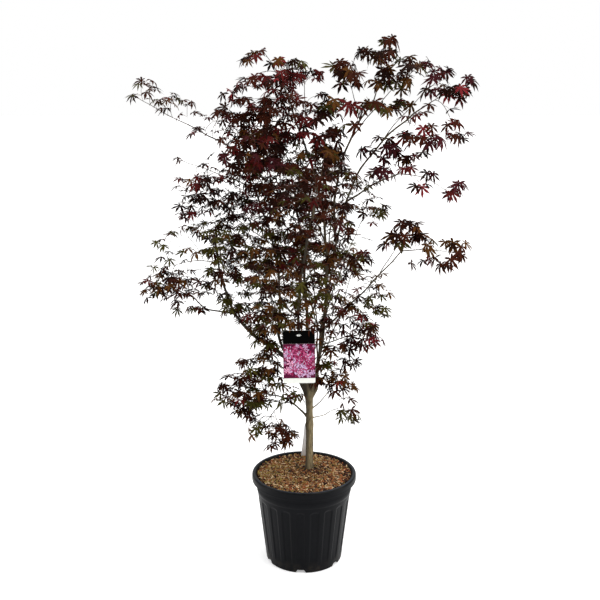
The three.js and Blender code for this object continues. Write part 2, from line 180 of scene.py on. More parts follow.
def makeVeinGroup():
    # midrib and side veins of a leaf, from its UV map: U runs from midrib to edge, V from stalk to tip
    tree, g, given, out = newGroup("leafVeins", {
        "Blade": (0.05, 0.01, 0.01, 1), "Vein": (0.2, 0.05, 0.05, 1), "Strength": 0.6,
    }, ("Color", "Mask", "Height"))
    u, v, _ = g.node("ShaderNodeSeparateXYZ", {0: g.node("ShaderNodeTexCoord").outputs["UV"]}).outputs
    midrib = g.minus(1.0, g.times(u, 7.0), clamp=True)
    slant = g.minus(g.times(v, 11.0), g.times(u, 0.9))
    comb = g.maths("ABSOLUTE", g.minus(g.maths("FRACT", slant), 0.5))
    sideVeins = g.times(g.minus(1.0, g.times(comb, 11.0), clamp=True), 0.45)
    lines = g.maths("MAXIMUM", midrib, sideVeins)
    mask = g.times(lines, given["Strength"], clamp=True)
    g.send(out, Color=g.mix(mask, given["Blade"], given["Vein"]), Mask=mask, Height=lines)
    return tree


mottleGroup = makeMottleGroup()
dustGroup = makeDustGroup()
veinGroup = makeVeinGroup()


def newMaterial(name, roughness, specular=0.5):
    material = bpy.data.materials.new(name)
    material.use_nodes = True
    shader = material.node_tree.nodes["Principled BSDF"]
    shader.inputs["Roughness"].default_value = roughness
    shader.inputs["Specular IOR Level"].default_value = specular
    return material, Graph(material.node_tree), shader


def mottled(g, scale, contrast, dark, light, stretch=1.0):
    return g.group(mottleGroup, {
        "Scale": scale, "Stretch": stretch, "Contrast": contrast, "Dark": dark, "Light": light})


def mottledMaterial(name, roughness, specular, *look, bump=None):
    # a material of one patchy colour: its scale, contrast, dark and light
    material, g, shader = newMaterial(name, roughness, specular)
    patchy = mottled(g, *look)
    g.link(patchy["Color"], shader.inputs["Base Color"])
    if bump:
        g.bump(shader, patchy["Height"], *bump)
    return material


# mesh helpers
def placed(name, data, spot=(0, 0, 0), turn=(0, 0, 0)):
    made = bpy.data.objects.new(name, data)
    made.location, made.rotation_euler = spot, turn
    scene.collection.objects.link(made)
    return made


def newPiece(name, points, faces, material, replaced, smooth=True):
    # a visible piece from points in mm
    mesh = bpy.data.meshes.new(name)
    mesh.from_pydata([tuple(p) for p in np.asarray(points) * mm], [], [tuple(f) for f in faces])
    mesh.update()
    mesh.polygons.foreach_set("use_smooth", [smooth] * len(mesh.polygons))
    mesh.materials.append(material)
    piece = placed(name, mesh)
    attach(piece, "root")
    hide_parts(*replaced)
    return piece


class Parts:
    # gathers many small shapes, in mm, into one mesh
    def __init__(self):
        self.points, self.faces, self.maps, self.count = [], [], [], 0

    def add(self, points, faces, leafMap=None):
        self.points.append(np.asarray(points, dtype=float))
        self.faces.append((self.count, faces))
        if leafMap is not None:
            self.maps.append(leafMap)
        self.count += len(points)

    def piece(self, name, material, slot, replaced, smooth=True):
        faces = [tuple(start + i for i in face) for start, some in self.faces for face in some]
        made = newPiece(name, np.concatenate(self.points), faces, material, replaced, smooth)
        if self.maps:
            layer = made.data.uv_layers.new(name="leafMap")
            corners = np.zeros(len(made.data.loops), dtype=np.int32)
            made.data.loops.foreach_get("vertex_index", corners)
            layer.data.foreach_set("uv", np.concatenate(self.maps)[corners].astype(np.float32).ravel())
        return made


def smoothStep(a, b, x):
    t = np.clip((x - a) / (b - a), 0.0, 1.0)
    return t * t * (3 - 2 * t)


def turns(count):
    # equal steps of a full turn
    return np.arange(count) * 2 * math.pi / count


def rough(x, y, z):
    return noise.noise(Vector((x, y, z)))


def unit(v):
    return v / max(float(np.linalg.norm(v)), 1e-9)


def gridFaces(rows, columns, closed=False):
    # faces between rings of points; closed joins the last ring to the first
    faces = []
    for i in range(rows if closed else rows - 1):
        low, high = i * columns, (i + 1) % rows * columns
        for j in range(columns):
            k = (j + 1) % columns
            faces.append((low + j, low + k, high + k, high + j))
    return faces


def tube(path, radii, sides, closedFoot=False):
    # a round rod along a path, in mm, with a small domed tip
    path = np.asarray(path, dtype=float)
    along = np.gradient(path, axis=0)
    along /= np.maximum(np.linalg.norm(along, axis=1, keepdims=True), 1e-9)
    across = np.cross(along[0], (0.0, 0.0, 1.0))
    if np.linalg.norm(across) < 0.1:
        across = np.cross(along[0], (0.0, 1.0, 0.0))
    across = unit(across)
    turn = turns(sides)
    points = []
    for p, a, r in zip(path, along, radii):
        across = unit(across - a * np.dot(across, a))
        up = np.cross(a, across)
        points.append(p + r * (np.cos(turn)[:, None] * across + np.sin(turn)[:, None] * up))
    points = np.vstack([*points, path[-1] + along[-1] * radii[-1] * 0.6])
    faces = gridFaces(len(path), sides)
    tip = len(points) - 1
    last = tip - sides
    faces += [(last + j, last + (j + 1) % sides, tip) for j in range(sides)]
    if closedFoot:
        faces.append(tuple(reversed(range(sides))))
    return points, faces


# camera, light and floor
studio = {
    "cameraAt": (-0.0125, -2.574, 1.438),
    "cameraPitch": 13.45,          # degrees below level
    "lens": 54.0, "sensor": 36, "clipEnd": 100,
    "skyStrength": 0.55,
    "skySeen": 1.0,                # what the camera sees of the sky
    "floorHalf": 40,
    "floorColour": (0.95, 0.95, 0.95),
    "floorGlow": 0.35,             # lightens the contact shadow, as a light table does
    "sun": 1.9,                    # a broad overhead light that keeps the floor pale
    "sunSpread": 60, "sunLean": (-8, 6, 0),
    "lamps": [                     # name, place, aims at, size, watts
        ("keyLamp", (2.5, -2.2, 2.6), (0, 0, 0.8), (1.4, 1.6), 38),
        ("fillLamp", (-2.4, -2.4, 2.4), (0, 0, 0.7), (1.4, 2.0), 14),
        ("leftStrip", (-1.7, -0.5, 0.9), (0, 0, 0.4), (0.35, 1.9), 9),
        ("rightStrip", (1.7, -0.4, 0.9), (0, 0, 0.4), (0.35, 1.9), 9),
    ],
}


def makeStudio():
    camera = bpy.data.cameras.new("camera")
    camera.lens, camera.sensor_width, camera.clip_end = studio["lens"], studio["sensor"], studio["clipEnd"]
    tilt = math.radians(90 - studio["cameraPitch"])
    scene.camera = placed("camera", camera, studio["cameraAt"], (tilt, 0, 0))
    for name, spot, aim, size, watts in studio["lamps"]:
        lamp = bpy.data.lights.new(name, "AREA")
        lamp.shape = "RECTANGLE"
        lamp.size, lamp.size_y = size
        lamp.energy = watts
        placed(name, lamp, spot, (Vector(aim) - Vector(spot)).to_track_quat("-Z", "Y").to_euler())
    sun = bpy.data.lights.new("overhead", "SUN")
    sun.energy, sun.angle = studio["sun"], math.radians(studio["sunSpread"])
    placed("overhead", sun, turn=[math.radians(a) for a in studio["sunLean"]])
    world = bpy.data.worlds.new("studioWorld")
    world.use_nodes = True
    g = Graph(world.node_tree)
    lit, seen = (g.node("ShaderNodeBackground", {"Color": white, "Strength": studio[key]}).outputs[0]
                 for key in ("skyStrength", "skySeen"))
    toCamera = g.node("ShaderNodeLightPath").outputs["Is Camera Ray"]
    sky = g.node("ShaderNodeMixShader", {0: toCamera, 1: lit, 2: seen}).outputs[0]
    g.link(sky, world.node_tree.nodes["World Output"].inputs["Surface"])
    scene.world = world
    paint, g, shader = newMaterial("studioFloor", 0.9)
    shader.inputs["Base Color"].default_value = (*studio["floorColour"], 1)
    shader.inputs["Emission Color"].default_value = white
    toCamera = g.node("ShaderNodeLightPath").outputs["Is Camera Ray"]
    g.link(g.times(toCamera, studio["floorGlow"]), shader.inputs["Emission Strength"])
    mesh = bpy.data.meshes.new("studioFloor")
    h = studio["floorHalf"]
    mesh.from_pydata([(-h, -h, 0), (h, -h, 0), (h, h, 0), (-h, h, 0)], [], [(0, 1, 2, 3)])
    mesh.materials.append(paint)
    floor = placed("studioFloor", mesh)


makeStudio()
print("camera, lamps and floor made")


# pot
pot = {
    "columns": 480,
    "ribs": 20, "ribTurn": 4.0, "ribHalf": 0.17,      # ribHalf is a share of the pitch
    "fluteDepth": 2.3, "fluteEdge": 0.085, "fluteTop": 213.0, "fluteArch": 6.0, "fluteFoot": 24.0,
    "notches": 6, "notchTurn": -5.0, "notchHeight": 11.0, "notchWide": 16.0, "notchNarrow": 10.0,
    "notchInner": 88.0,
    "drainTurn": 25.0, "drainRadius": 7.0, "drainRing": 68.0, "drainDepth": 6.0, "hubHeight": 1.6,
    "footRadius": 117.0, "flare": 0.118,
    # the profile, from the middle of the underside round to the inside: radii, heights, or both
    "underside": (0.5, 20, 40, 52, 58, 61, 64, 66, 68, 70, 72, 75, 78, 84, 87.5, 88.5, 96, 104, 110),
    "footCurve": ((113.2, 0.0), (114.4, 0.15), (115.6, 0.7), (116.6, 1.7), (117.2, 3.0)),
    "plainWall": (5, 7, 9, 10.6, 11.4, 13, 16, 20),
    "flutedWall": (23, 26, 29, 33, 40, 55, 75, 100, 125, 150, 170, 182, 190, *np.arange(194, 222, 1.5)),
    "collar": (223, 225, 228, 234, 240), "collarStep": 1.3,
    "rim": (
        (147.6, 242.6), (148.8, 244.6), (151.6, 249.0), (154.6, 253.6), (156.8, 256.4), (158.4, 258.0),
        (159.4, 259.6), (159.9, 262.0), (160.0, 268.0), (159.9, 274.0), (159.4, 276.8), (158.4, 278.9),
        (157.0, 280.2), (154.8, 280.9), (152.0, 280.8), (149.4, 279.9), (147.6, 278.4), (146.5, 276.2),
        (145.9, 273.5), (145.4, 268.0), (145.0, 262.0), (144.6, 258.9)),
}


def potProfile():
    # rows of radius, height and share of the flute relief
    def wall(z):
        return pot["footRadius"] + pot["flare"] * z

    rows = [(r, 0.0, 0) for r in pot["underside"]] + [(r, z, 0) for r, z in pot["footCurve"]]
    rows += [(wall(z), z, 0) for z in pot["plainWall"]] + [(wall(z), z, 1) for z in pot["flutedWall"]]
    rows += [(wall(z) + pot["collarStep"] * float(smoothStep(221, 226, z)), z, 0) for z in pot["collar"]]
    return rows + [(r, z, 0) for r, z in pot["rim"]]


def nearestShare(angle, count, offset):
    # how far an angle is from the nearest of so many places round the pot, as a share of their pitch
    turned = (angle - math.radians(offset)) / (2 * math.pi / count)
    return np.abs(turned - np.round(turned))


def fluteRelief(angle, z):
    across = nearestShare(angle, pot["ribs"], pot["ribTurn"])  # 0 on a rib, 0.5 in the middle of a flute
    inFlute = smoothStep(pot["ribHalf"], pot["ribHalf"] + pot["fluteEdge"], across)
    arch = np.clip((0.5 - across) / (0.5 - pot["ribHalf"]), 0, 1) ** 2
    top = pot["fluteTop"] - pot["fluteArch"] * arch
    fade = smoothStep(pot["fluteFoot"] - 4, pot["fluteFoot"] + 22, z)
    return pot["fluteDepth"] * inFlute * smoothStep(top, top - 9, z) * fade


def potMaterial():
    material, g, shader = newMaterial("blackNurseryPlastic", 0.4, 0.09)
    body = mottled(g, 9.0, 1.2, tinted((4, 5, 7)), tinted((11, 12, 16)))
    dusty = g.group(dustGroup, {
        "Color": body["Color"], "Dust": tinted((96, 86, 72)), "Amount": 0.22, "Reach": 0.04, "Scale": 45.0})
    place = g.place()
    streaks = g.node("ShaderNodeMapping", {"Vector": place, "Scale": (60, 60, 900)}).outputs[0]
    scuffs = g.noise(streaks, 1.0, 4.0)
    scuffed = g.times(g.minus(scuffs, 0.64), 1.2, clamp=True)
    colour = g.mix(scuffed, dusty["Color"], tinted((60, 62, 64)))
    height = g.axis(place, 2)
    # painted highlight: a lighter blue-grey line along the rim's top edge, broken up by the scuffs
    paintedRimHighlight = g.times(g.fade(height, 0.2796, 0.2812), g.times(scuffs, 0.9), clamp=True)
    g.link(g.mix(paintedRimHighlight, colour, tinted((84, 90, 100))), shader.inputs["Base Color"])
    ledge = g.times(g.times(g.fade(height, 0.226, 0.242), g.fade(height, 0.266, 0.258)), 0.4)
    shine = g.plus(g.times(body["Mask"], 0.12), g.plus(ledge, 0.3))
    g.link(g.plus(shine, g.times(dusty["Mask"], 0.6), clamp=True), shader.inputs["Roughness"])
    g.bump(shader, g.noise(place, 1400.0, 2.0), 0.0003, 0.35)
    return material


def makePot():
    columns = pot["columns"]
    fromFront = turns(columns)                                 # starts at the front, turns towards +X
    angle = fromFront - math.pi / 2
    pitch = 2 * math.pi / pot["notches"]
    notchOff = nearestShare(fromFront, pot["notches"], pot["notchTurn"]) * pitch
    holeOff = nearestShare(fromFront, pot["notches"], pot["drainTurn"]) * pitch
    rings = []
    for r, z, relief in potProfile():
        radius = np.full(columns, float(r)) - (fluteRelief(fromFront, z) if relief else 0)
        height = np.full(columns, float(z))
        if z < pot["notchHeight"] and r >= pot["notchInner"]:
            away = (pot["notchWide"] - notchOff * r) / (pot["notchWide"] - pot["notchNarrow"])
            height = np.maximum(height, pot["notchHeight"] * np.clip(away, 0, 1))
        if z == 0 and r < pot["notchInner"]:
            away = np.hypot(holeOff * r, r - pot["drainRing"])
            height += pot["drainDepth"] * smoothStep(pot["drainRadius"] + 1.0, pot["drainRadius"] - 0.5, away)
            height += pot["hubHeight"] * smoothStep(56, 50, r)
        rings.append(np.stack([radius * np.cos(angle), radius * np.sin(angle), height], axis=1))
    faces = gridFaces(len(rings), columns)
    faces.append(tuple(reversed(range(columns))))
    faces.append(tuple((len(rings) - 1) * columns + i for i in range(columns)))
    newPiece("nurseryPot", np.concatenate(rings), faces, potMaterial(), ("pot",))


makePot()
print("pot made")


# bark mulch on the compost
mulch = {
    "seed": 7, "rows": 46, "columns": 150,
    "radius": 145.4, "edgeTop": 276.2, "moundTop": 277.6, "moundAt": (17.0, 29.0), "moundRadius": 62.0,
    "bedDrop": 2.6, "skirtRadius": 143.0, "skirtFoot": 236.0,
    "chips": 5200, "corners": 7, "thick": (1.2, 2.6), "lift": (-2.4, 1.6), "tumble": (0.26, 0.5),
    "kinds": {        # share, sRGB dark, sRGB light, length, width
        "chipsDark": (0.22, (34, 19, 13), (66, 38, 27), (7, 17), (2.4, 4.6)),
        "chipsBrown": (0.24, (116, 76, 44), (168, 119, 72), (8, 20), (1.8, 3.8)),
        "chipsRust": (0.15, (140, 76, 46), (188, 114, 70), (7, 18), (1.6, 3.6)),
        "chipsTan": (0.2, (202, 160, 108), (250, 228, 186), (6, 16), (1.2, 3.0)),
        "chipsOlive": (0.19, (138, 114, 56), (190, 164, 92), (6, 16), (1.4, 3.4)),
    },
}


def bedHeight(x, y):
    away = np.hypot(x - mulch["moundAt"][0], y - mulch["moundAt"][1])
    rise = (mulch["moundTop"] - mulch["edgeTop"]) * smoothStep(mulch["moundRadius"] + 20, 18, away)
    return mulch["edgeTop"] + rise


def makeBed():
    points, rows, columns = [], mulch["rows"], mulch["columns"]
    for i in range(rows):
        r = mulch["radius"] * max(i, 0.02) / (rows - 1)
        for a in turns(columns):
            x, y = r * math.cos(a), r * math.sin(a)
            lump = 2.2 * rough(x / 9, y / 9, 3.0) + 1.2 * rough(x / 3.5, y / 3.5, 9.0)
            points.append((x, y, float(bedHeight(x, y)) - mulch["bedDrop"] + lump))
    # a skirt down the inside of the wall
    r = mulch["skirtRadius"]
    points += [(r * math.cos(a), r * math.sin(a), mulch["skirtFoot"]) for a in turns(columns)]
    faces = gridFaces(rows, columns)
    faces.append(tuple(reversed(range(columns))))
    last, below = (rows - 1) * columns, rows * columns
    faces += [(last + j, last + k, below + k, below + j) for j in range(columns) for k in [(j + 1) % columns]]
    soil = mottledMaterial(
        "dampCompost", 0.95, 0.2, 260.0, 2.2, tinted((20, 11, 8)), tinted((58, 34, 24)), bump=(0.002, 0.8))
    newPiece("compostBed", points, faces, soil, ("compost", "mulch"))


def turnMatrix(yaw, tilt, roll):
    cy, sy, ct, st, cr, sr = (f(a) for a in (yaw, tilt, roll) for f in (math.cos, math.sin))
    aboutZ = np.array([[cy, -sy, 0], [sy, cy, 0], [0, 0, 1]])
    aboutY = np.array([[ct, 0, st], [0, 1, 0], [-st, 0, ct]])
    aboutX = np.array([[1, 0, 0], [0, cr, -sr], [0, sr, cr]])
    return aboutZ @ aboutY @ aboutX


def chipShape(deal, length, width, thick):
    # a torn, blunt-ended flake: its upper edge, its lower edge and its raised middle
    outline = []
    for t in turns(mulch["corners"]):
        t += deal.uniform(-0.25, 0.25)
        squared = 1 / max(abs(math.cos(t)), abs(math.sin(t)) * 0.9, 0.5)
        reach = min(squared, 1.25) * deal.uniform(0.78, 1.05)
        outline.append((math.cos(t) * length / 2 * reach, math.sin(t) * width / 2 * reach))
    bend = deal.uniform(-0.012, 0.02)
    upper = [(u, v, thick / 2 + deal.uniform(-0.25, 0.25) + bend * u * u) for u, v in outline]
    lower = [(u * 0.92, v * 0.88, -thick / 2 + bend * u * u) for u, v in outline]
    return np.array([*upper, *lower, (0, 0, thick / 2 + deal.uniform(0.1, 0.6))])


def chipMaterial(name, dark, light):
    material, g, shader = newMaterial(name, 0.85, 0.25)
    patchy = mottled(g, 150.0, 2.4, tinted(dark), tinted(light))
    fibre = g.noise(g.place(), 900.0, 3.0)
    shade = g.times(g.minus(fibre, 0.5), 1.6, clamp=True)
    g.link(g.mix(shade, patchy["Color"], tinted(dark, 0.55)), shader.inputs["Base Color"])
    g.bump(shader, fibre, 0.0008, 0.6)
    return material


def makeChips():
    deal = random.Random(mulch["seed"])
    kinds, n = mulch["kinds"], mulch["corners"]
    piles = {name: Parts() for name in kinds}
    faces = [(k, (k + 1) % n, 2 * n) for k in range(n)]
    faces += [(k, k + n, (k + 1) % n + n, (k + 1) % n) for k in range(n)]
    faces.append(tuple(reversed(range(n, 2 * n))))
    for count in range(mulch["chips"]):
        r = (mulch["radius"] - 3.5) * math.sqrt(deal.random())
        a = deal.uniform(0, 2 * math.pi)
        x, y = r * math.cos(a), r * math.sin(a)
        side = x / mulch["radius"]
        # more dark chips near the trunk; and painted shade: many more dark chips all along the rim, where the
        # rim's shadow falls
        byTrunk = math.exp(-(((x - 26) / 36) ** 2 + ((y - 26) / 36) ** 2))
        rimShade = max(0.0, r / mulch["radius"] - 0.84)
        dark = 1 + 6 * byTrunk + 16 * rimShade
        lean = {"chipsOlive": 1 - 0.65 * side, "chipsRust": 1 + 0.4 * side, "chipsDark": dark}
        weights = [kind[0] * lean.get(name, 1) for name, kind in kinds.items()]
        name = deal.choices(list(kinds), weights)[0]
        lengths, widths = kinds[name][3:]
        length = deal.uniform(*lengths) * (0.72 if r > 128 else 1)
        width, thick = deal.uniform(*widths), deal.uniform(*mulch["thick"])
        slab = chipShape(deal, length, width, thick)
        yaw, (tilt, roll) = deal.uniform(0, 2 * math.pi), (deal.gauss(0, a) for a in mulch["tumble"])
        slab = slab @ turnMatrix(yaw, tilt, roll).T
        slab += (x, y, float(bedHeight(x, y)) + deal.uniform(*mulch["lift"]))
        out = np.hypot(slab[:, 0], slab[:, 1])
        slab[:, :2] *= np.minimum(1, (mulch["radius"] - 0.2) / np.maximum(out, 1))[:, None]
        slab[:, 2] = np.minimum(slab[:, 2], mulch["moundTop"] + 3)
        piles[name].add(slab, faces)
    for name, (share, dark, light, lengths, widths) in kinds.items():
        piles[name].piece(name, chipMaterial(name, dark, light), "bark_mulch", ("mulch",), False)


makeBed()
makeChips()
print("mulch made")


# trunk and limbs
trunk = {
    "foot": (16, 29, 265), "top": (15, 30, 524), "bow": (1.5, 0, 0),
    "girth": [
        (0, 30), (0.06, 26.5), (0.12, 23.6), (0.33, 22.6), (0.52, 22.8), (0.6, 25), (0.69, 21.4),
        (0.79, 20.4), (0.91, 24), (1, 25)],
    "leaveFoot": (17, 29, 280.4), "leaveBow": (3, 0, 0),       # the line that the limbs start from
    "sides": 28, "voxel": 1.15, "smoothings": 7, "furrow": 0.45,
}
# grows from, share along it, tip, bow or the points it runs through, thickness at foot and tip, all in mm
limbs = {
    "stem_centre": ("trunk", 0.95, (-30, 50, 1350), (74, 5, 10), (12.5, 5.2)),
    "stem_left": ("trunk", 0.93, (-262, 30, 985), [
        (-5, 24, 555), (-31, 20, 602), (-62, 17, 645), (-108, 15, 682), (-160, 17, 716), (-212, 20, 785),
        (-244, 25, 880)], (15.5, 5)),
    "stem_right": ("trunk", 0.9, (310, 50, 1356), [
        (38, 30, 540), (44, 30, 610), (52, 32, 725), (80, 36, 900), (104, 40, 1035), (152, 44, 1178),
        (240, 48, 1296)], (9, 4.6)),
    "stem_back": ("trunk", 0.97, (-35, 245, 1130), (15, 30, -10), (13, 6)),
    "stem_front": ("trunk", 0.97, (25, -180, 1120), (-36, -8, -30), (12, 5)),
    "stem_far_left": ("stem_left", 0.2, (-212, 60, 1262), [
        (-76, 28, 700), (-73, 38, 830), (-88, 46, 970), (-136, 54, 1120)], (9.5, 4.6)),
    "arm_low_left": ("stem_left", 0.62, (-326, 12, 826), [(-252, 14, 786), (-290, 12, 796)], (6, 3.4)),
    "limb_top_right": ("stem_right", 0.53, (196, 65, 1386), (-44, 5, 12), (9, 4.5)),
    "arm_right": ("stem_right", 0.24, (285, 20, 965), (0, 0, -6), (6.6, 3.4)),
    "limb_droop": ("stem_right", 0.66, (268, -10, 1192), (8, 0, 14), (6, 3.5)),
    "arm_back": ("stem_back", 0.34, (95, 305, 905), (0, 10, -14), (8, 4.5)),
    "arm_front": ("stem_front", 0.47, (-70, -240, 900), (-5, -10, -6), (7, 4.5)),
    "branch_low_left": (
        "trunk", 0.65, (-100, 5, 526), [(-8, 20, 467), (-34, 14, 495), (-64, 8, 515)], (7, 3.6)),
    "twig_skirt_droop": (
        "branch_low_left", 0.47, (-108, -22, 458), [(-54, 8, 500), (-80, -6, 488)], (3.8, 2.2)),
    "branch_skirt_upper": ("stem_left", 0.16, (-88, -5, 632), (0, 0, -7), (5.4, 3.4)),
    "branch_low_right": ("trunk", 0.67, (78, 10, 472), (0, 0, -4), (3.6, 2.2)),
    "branch_right_upper": ("trunk", 0.77, (84, 15, 548), (1, 0, -4), (3.8, 2.4)),
    "branch_right_tip": ("stem_right", 0.19, (160, 15, 712), (0, 0, 4), (4.4, 2.6)),
    "branch_right_droop": ("stem_right", 0.1, (78, 10, 652), (2, 0, 6), (4.4, 2.6)),
}
# long slender shoots that carry a spray beyond its limb, laid out in the same way
leaders = {
    "leadFarLeft": ("stem_far_left", 1.0, (-470, 46, 1400), (6, 0, -6), (4.6, 1.4)),
    "leadLowArm": ("arm_low_left", 1.0, (-450, 5, 852), (0, 0, 14), (3.8, 1.2)),
    "leadTierLeft": ("stem_left", 0.9, (-396, 15, 922), (0, 0, 10), (3.4, 1.2)),
    "leadTierUp": ("stem_far_left", 0.55, (-352, 25, 1150), (0, 0, 10), (3.6, 1.2)),
    "leadTierHigh": ("stem_far_left", 0.8, (-350, 40, 1225), (0, 0, 4), (3.2, 1.2)),
    "leadPlume": ("stem_centre", 1.0, (-112, 46, 1525), (8, 0, 10), (5.6, 1.4)),
    "leadPlumeRight": ("stem_centre", 0.93, (-4, 50, 1478), (6, 0, 0), (4, 1.2)),
    "leadTopRight": ("limb_top_right", 1.0, (226, 60, 1546), (4, 0, 0), (4.2, 1.4)),
    "leadCrest": ("limb_top_right", 0.72, (332, 60, 1494), (-6, 0, 12), (4.2, 1.3)),
    "leadCrestLeft": ("limb_top_right", 0.86, (120, 72, 1462), (0, 0, 10), (3.4, 1.2)),
    "leadFarRight": ("stem_right", 1.0, (440, 50, 1420), (0, 0, 8), (4.6, 1.3)),
    "leadFarRightUp": ("stem_right", 0.86, (392, 60, 1462), (-4, 0, 6), (3.6, 1.2)),
    "leadDroop": ("limb_droop", 1.0, (395, -18, 1150), (0, 0, 12), (3.2, 1.1)),
    "leadDroopUp": ("limb_droop", 0.9, (338, 0, 1262), (4, 0, -4), (2.8, 1.1)),
    "leadArmRight": ("arm_right", 1.0, (440, 16, 960), (0, 0, 6), (3.8, 1.2)),
    "leadArmRightUp": ("arm_right", 0.72, (312, 30, 1024), (-4, 0, 4), (3.2, 1.2)),
    "leadSkirt": ("branch_low_left", 1.0, (-222, 5, 558), (0, 0, 6), (4.6, 1.3)),
    "leadSkirtUp": ("branch_skirt_upper", 1.0, (-170, 0, 632), (0, 0, 4), (3.6, 1.2)),
    "shootInnerLeft": ("stem_left", 0.2, (-128, 12, 908), (8, 0, 0), (6, 1.8)),
    "shootMidLeft": ("stem_far_left", 0.14, (-166, 40, 1020), (10, 0, 6), (5.6, 1.8)),
    "shootCentre": ("stem_centre", 0.12, (4, 6, 985), (10, -4, 0), (6, 1.8)),
    "shootCentreLeft": ("stem_centre", 0.2, (-62, 22, 1010), (8, 0, 0), (5.4, 1.8)),
    "shootCentreRight": ("stem_right", 0.14, (140, 24, 905), (10, 0, -10), (4.6, 1.6)),
    "shootRight": ("stem_right", 0.24, (158, 36, 1030), (-8, 0, 0), (5, 1.6)),
    "shootHigh": ("stem_centre", 0.45, (74, 66, 1290), (8, 0, 0), (5.4, 1.6)),
    "shootHighLeft": ("stem_centre", 0.55, (-96, 56, 1310), (10, 0, 0), (5, 1.6)),
    "leadBackHigh": ("stem_back", 1.0, (-60, 322, 1240), (0, 10, 10), (5, 1.4)),
    "leadFrontHigh": ("stem_front", 1.0, (40, -262, 1200), (0, -8, 8), (4.4, 1.3)),
}
wood = {
    "seed": 19, "step": 7.0, "trunkStep": 5.0, "nodeGap": 62.0, "kink": 1.1, "collar": 0.45, "taper": 0.72,
    "sway": 1.6, "swayGap": 95, "swell": 0.13,                 # slow bends, and the thickening at every node
    "sides": 12, "blendSides": 20, "blendReach": 130.0,
}


def throughPoints(points):
    # a centripetal spline through every point
    p = [2 * points[0] - points[1], *points, 2 * points[-1] - points[-2]]
    t = np.linspace(0, 1, 40, endpoint=False)[:, None]
    parts = []
    for k in range(1, len(p) - 2):
        a, b, c, d = p[k - 1:k + 3]
        da, db, dc = (math.sqrt(np.linalg.norm(v - u)) for u, v in ((a, b), (b, c), (c, d)))
        leave = ((b - a) / da - (c - a) / (da + db) + (c - b) / db) * db
        arrive = ((c - b) / db - (d - b) / (db + dc) + (d - c) / dc) * db
        bend, twist = 3 * (c - b) - 2 * leave - arrive, 2 * (b - c) + leave + arrive
        parts.append(b + leave * t + bend * t ** 2 + twist * t ** 3)
    return np.concatenate([*parts, [points[-1]]])


def bowedPath(foot, tip, bow, step):
    # evenly spaced points on a bowed line, or on a spline where bow is a list of points
    foot, tip = np.array(foot, dtype=float), np.array(tip, dtype=float)
    if isinstance(bow, list):
        fine = throughPoints([foot, *(np.array(v, dtype=float) for v in bow), tip])
    else:
        handle = (foot + tip) / 2 + 2 * np.array(bow, dtype=float)
        t = np.linspace(0, 1, 300)[:, None]
        fine = (1 - t) ** 2 * foot + 2 * t * (1 - t) * handle + t * t * tip
    length = np.concatenate([[0], np.cumsum(np.linalg.norm(np.diff(fine, axis=0), axis=1))])
    wanted = np.linspace(0, length[-1], max(int(length[-1] / step), 6) + 1)
    return np.stack([np.interp(wanted, length, fine[:, k]) for k in range(3)], axis=1), wanted


def placeAt(path, share):
    at = share * (len(path) - 1)
    i = min(int(at), len(path) - 2)
    return path[i] + (path[i + 1] - path[i]) * (at - i)


def layWood():
    # every limb's path, thickness and distance along
    deal = np.random.RandomState(wood["seed"])
    path, along = bowedPath(trunk["foot"], trunk["top"], trunk["bow"], wood["trunkStep"])
    shares, girths = zip(*trunk["girth"])
    laid = {"trunk": (path, np.interp(along / along[-1], shares, girths) / 2, along)}
    trunkLine, _ = bowedPath(trunk["leaveFoot"], trunk["top"], trunk["leaveBow"], wood["trunkStep"])
    for name, (parent, share, tip, bow, girth) in [*limbs.items(), *leaders.items()]:
        foot = placeAt(trunkLine if parent == "trunk" else laid[parent][0], share)
        path, along = bowedPath(foot, tip, bow, wood["step"])
        heading = unit(path[-1] - path[0])
        side = unit(np.cross(heading, (0.2, 1.0, 0.1)))
        other = np.cross(heading, side)
        nodes = along / wood["nodeGap"] + deal.uniform(0, 1)
        zigzag = np.abs((nodes % 2) - 1) - 0.5                 # a small bend at every node
        ease = smoothStep(0, 50, along) * smoothStep(0, 20, along[-1] - along)
        slow = np.sin(along / wood["swayGap"] + deal.uniform(0, 6)) * wood["sway"]
        sway = ease * (zigzag * 2 * wood["kink"] * 1.4 + slow)
        path = path + sway[:, None] * side + (ease * slow * 0.6)[:, None] * other
        radii = (girth[0] + (girth[1] - girth[0]) * (along / along[-1]) ** wood["taper"]) / 2
        nearNode = np.exp(-((nodes - np.round(nodes)) * wood["nodeGap"] / 5.0) ** 2)
        laid[name] = (path, radii * (1 + wood["swell"] * nearNode), along)
    return laid


woodLaid = layWood()


def barkMaterial():
    material, g, shader = newMaterial("mapleBark", 0.72, 0.3)
    bark = mottled(g, 58.0, 4.6, tinted((40, 32, 20)), tinted((170, 152, 112)), 4.0)
    fine = mottled(g, 360.0, 3.2, tinted((28, 22, 13)), tinted((176, 158, 120)), 6.0)
    moss = mottled(g, 16.0, 3.0, tinted((88, 86, 52)), tinted((112, 94, 68)), 1.6)
    colour = g.mix(0.35, g.mix(0.3, bark["Color"], moss["Color"]), fine["Color"])
    place = g.place()
    young = g.fade(g.axis(place, 2), 0.43, 0.62)
    aged = g.mix(g.times(young, 0.82), colour, tinted((50, 38, 25)))
    # painted shade: the bark's left side, away from the key lamp, darkened in streaks
    paintedLeftShade = g.fade(g.axis(place, 0), 0.0175, 0.006)
    paintedShadeStreaks = g.times(paintedLeftShade, g.plus(g.times(bark["Mask"], 0.4), 0.6), clamp=True)
    g.link(g.mix(paintedShadeStreaks, aged, tinted((40, 33, 22))), shader.inputs["Base Color"])
    g.link(g.plus(g.times(fine["Mask"], 0.25), 0.55), shader.inputs["Roughness"])
    g.bump(shader, fine["Height"], 0.0012, 0.5)
    return material


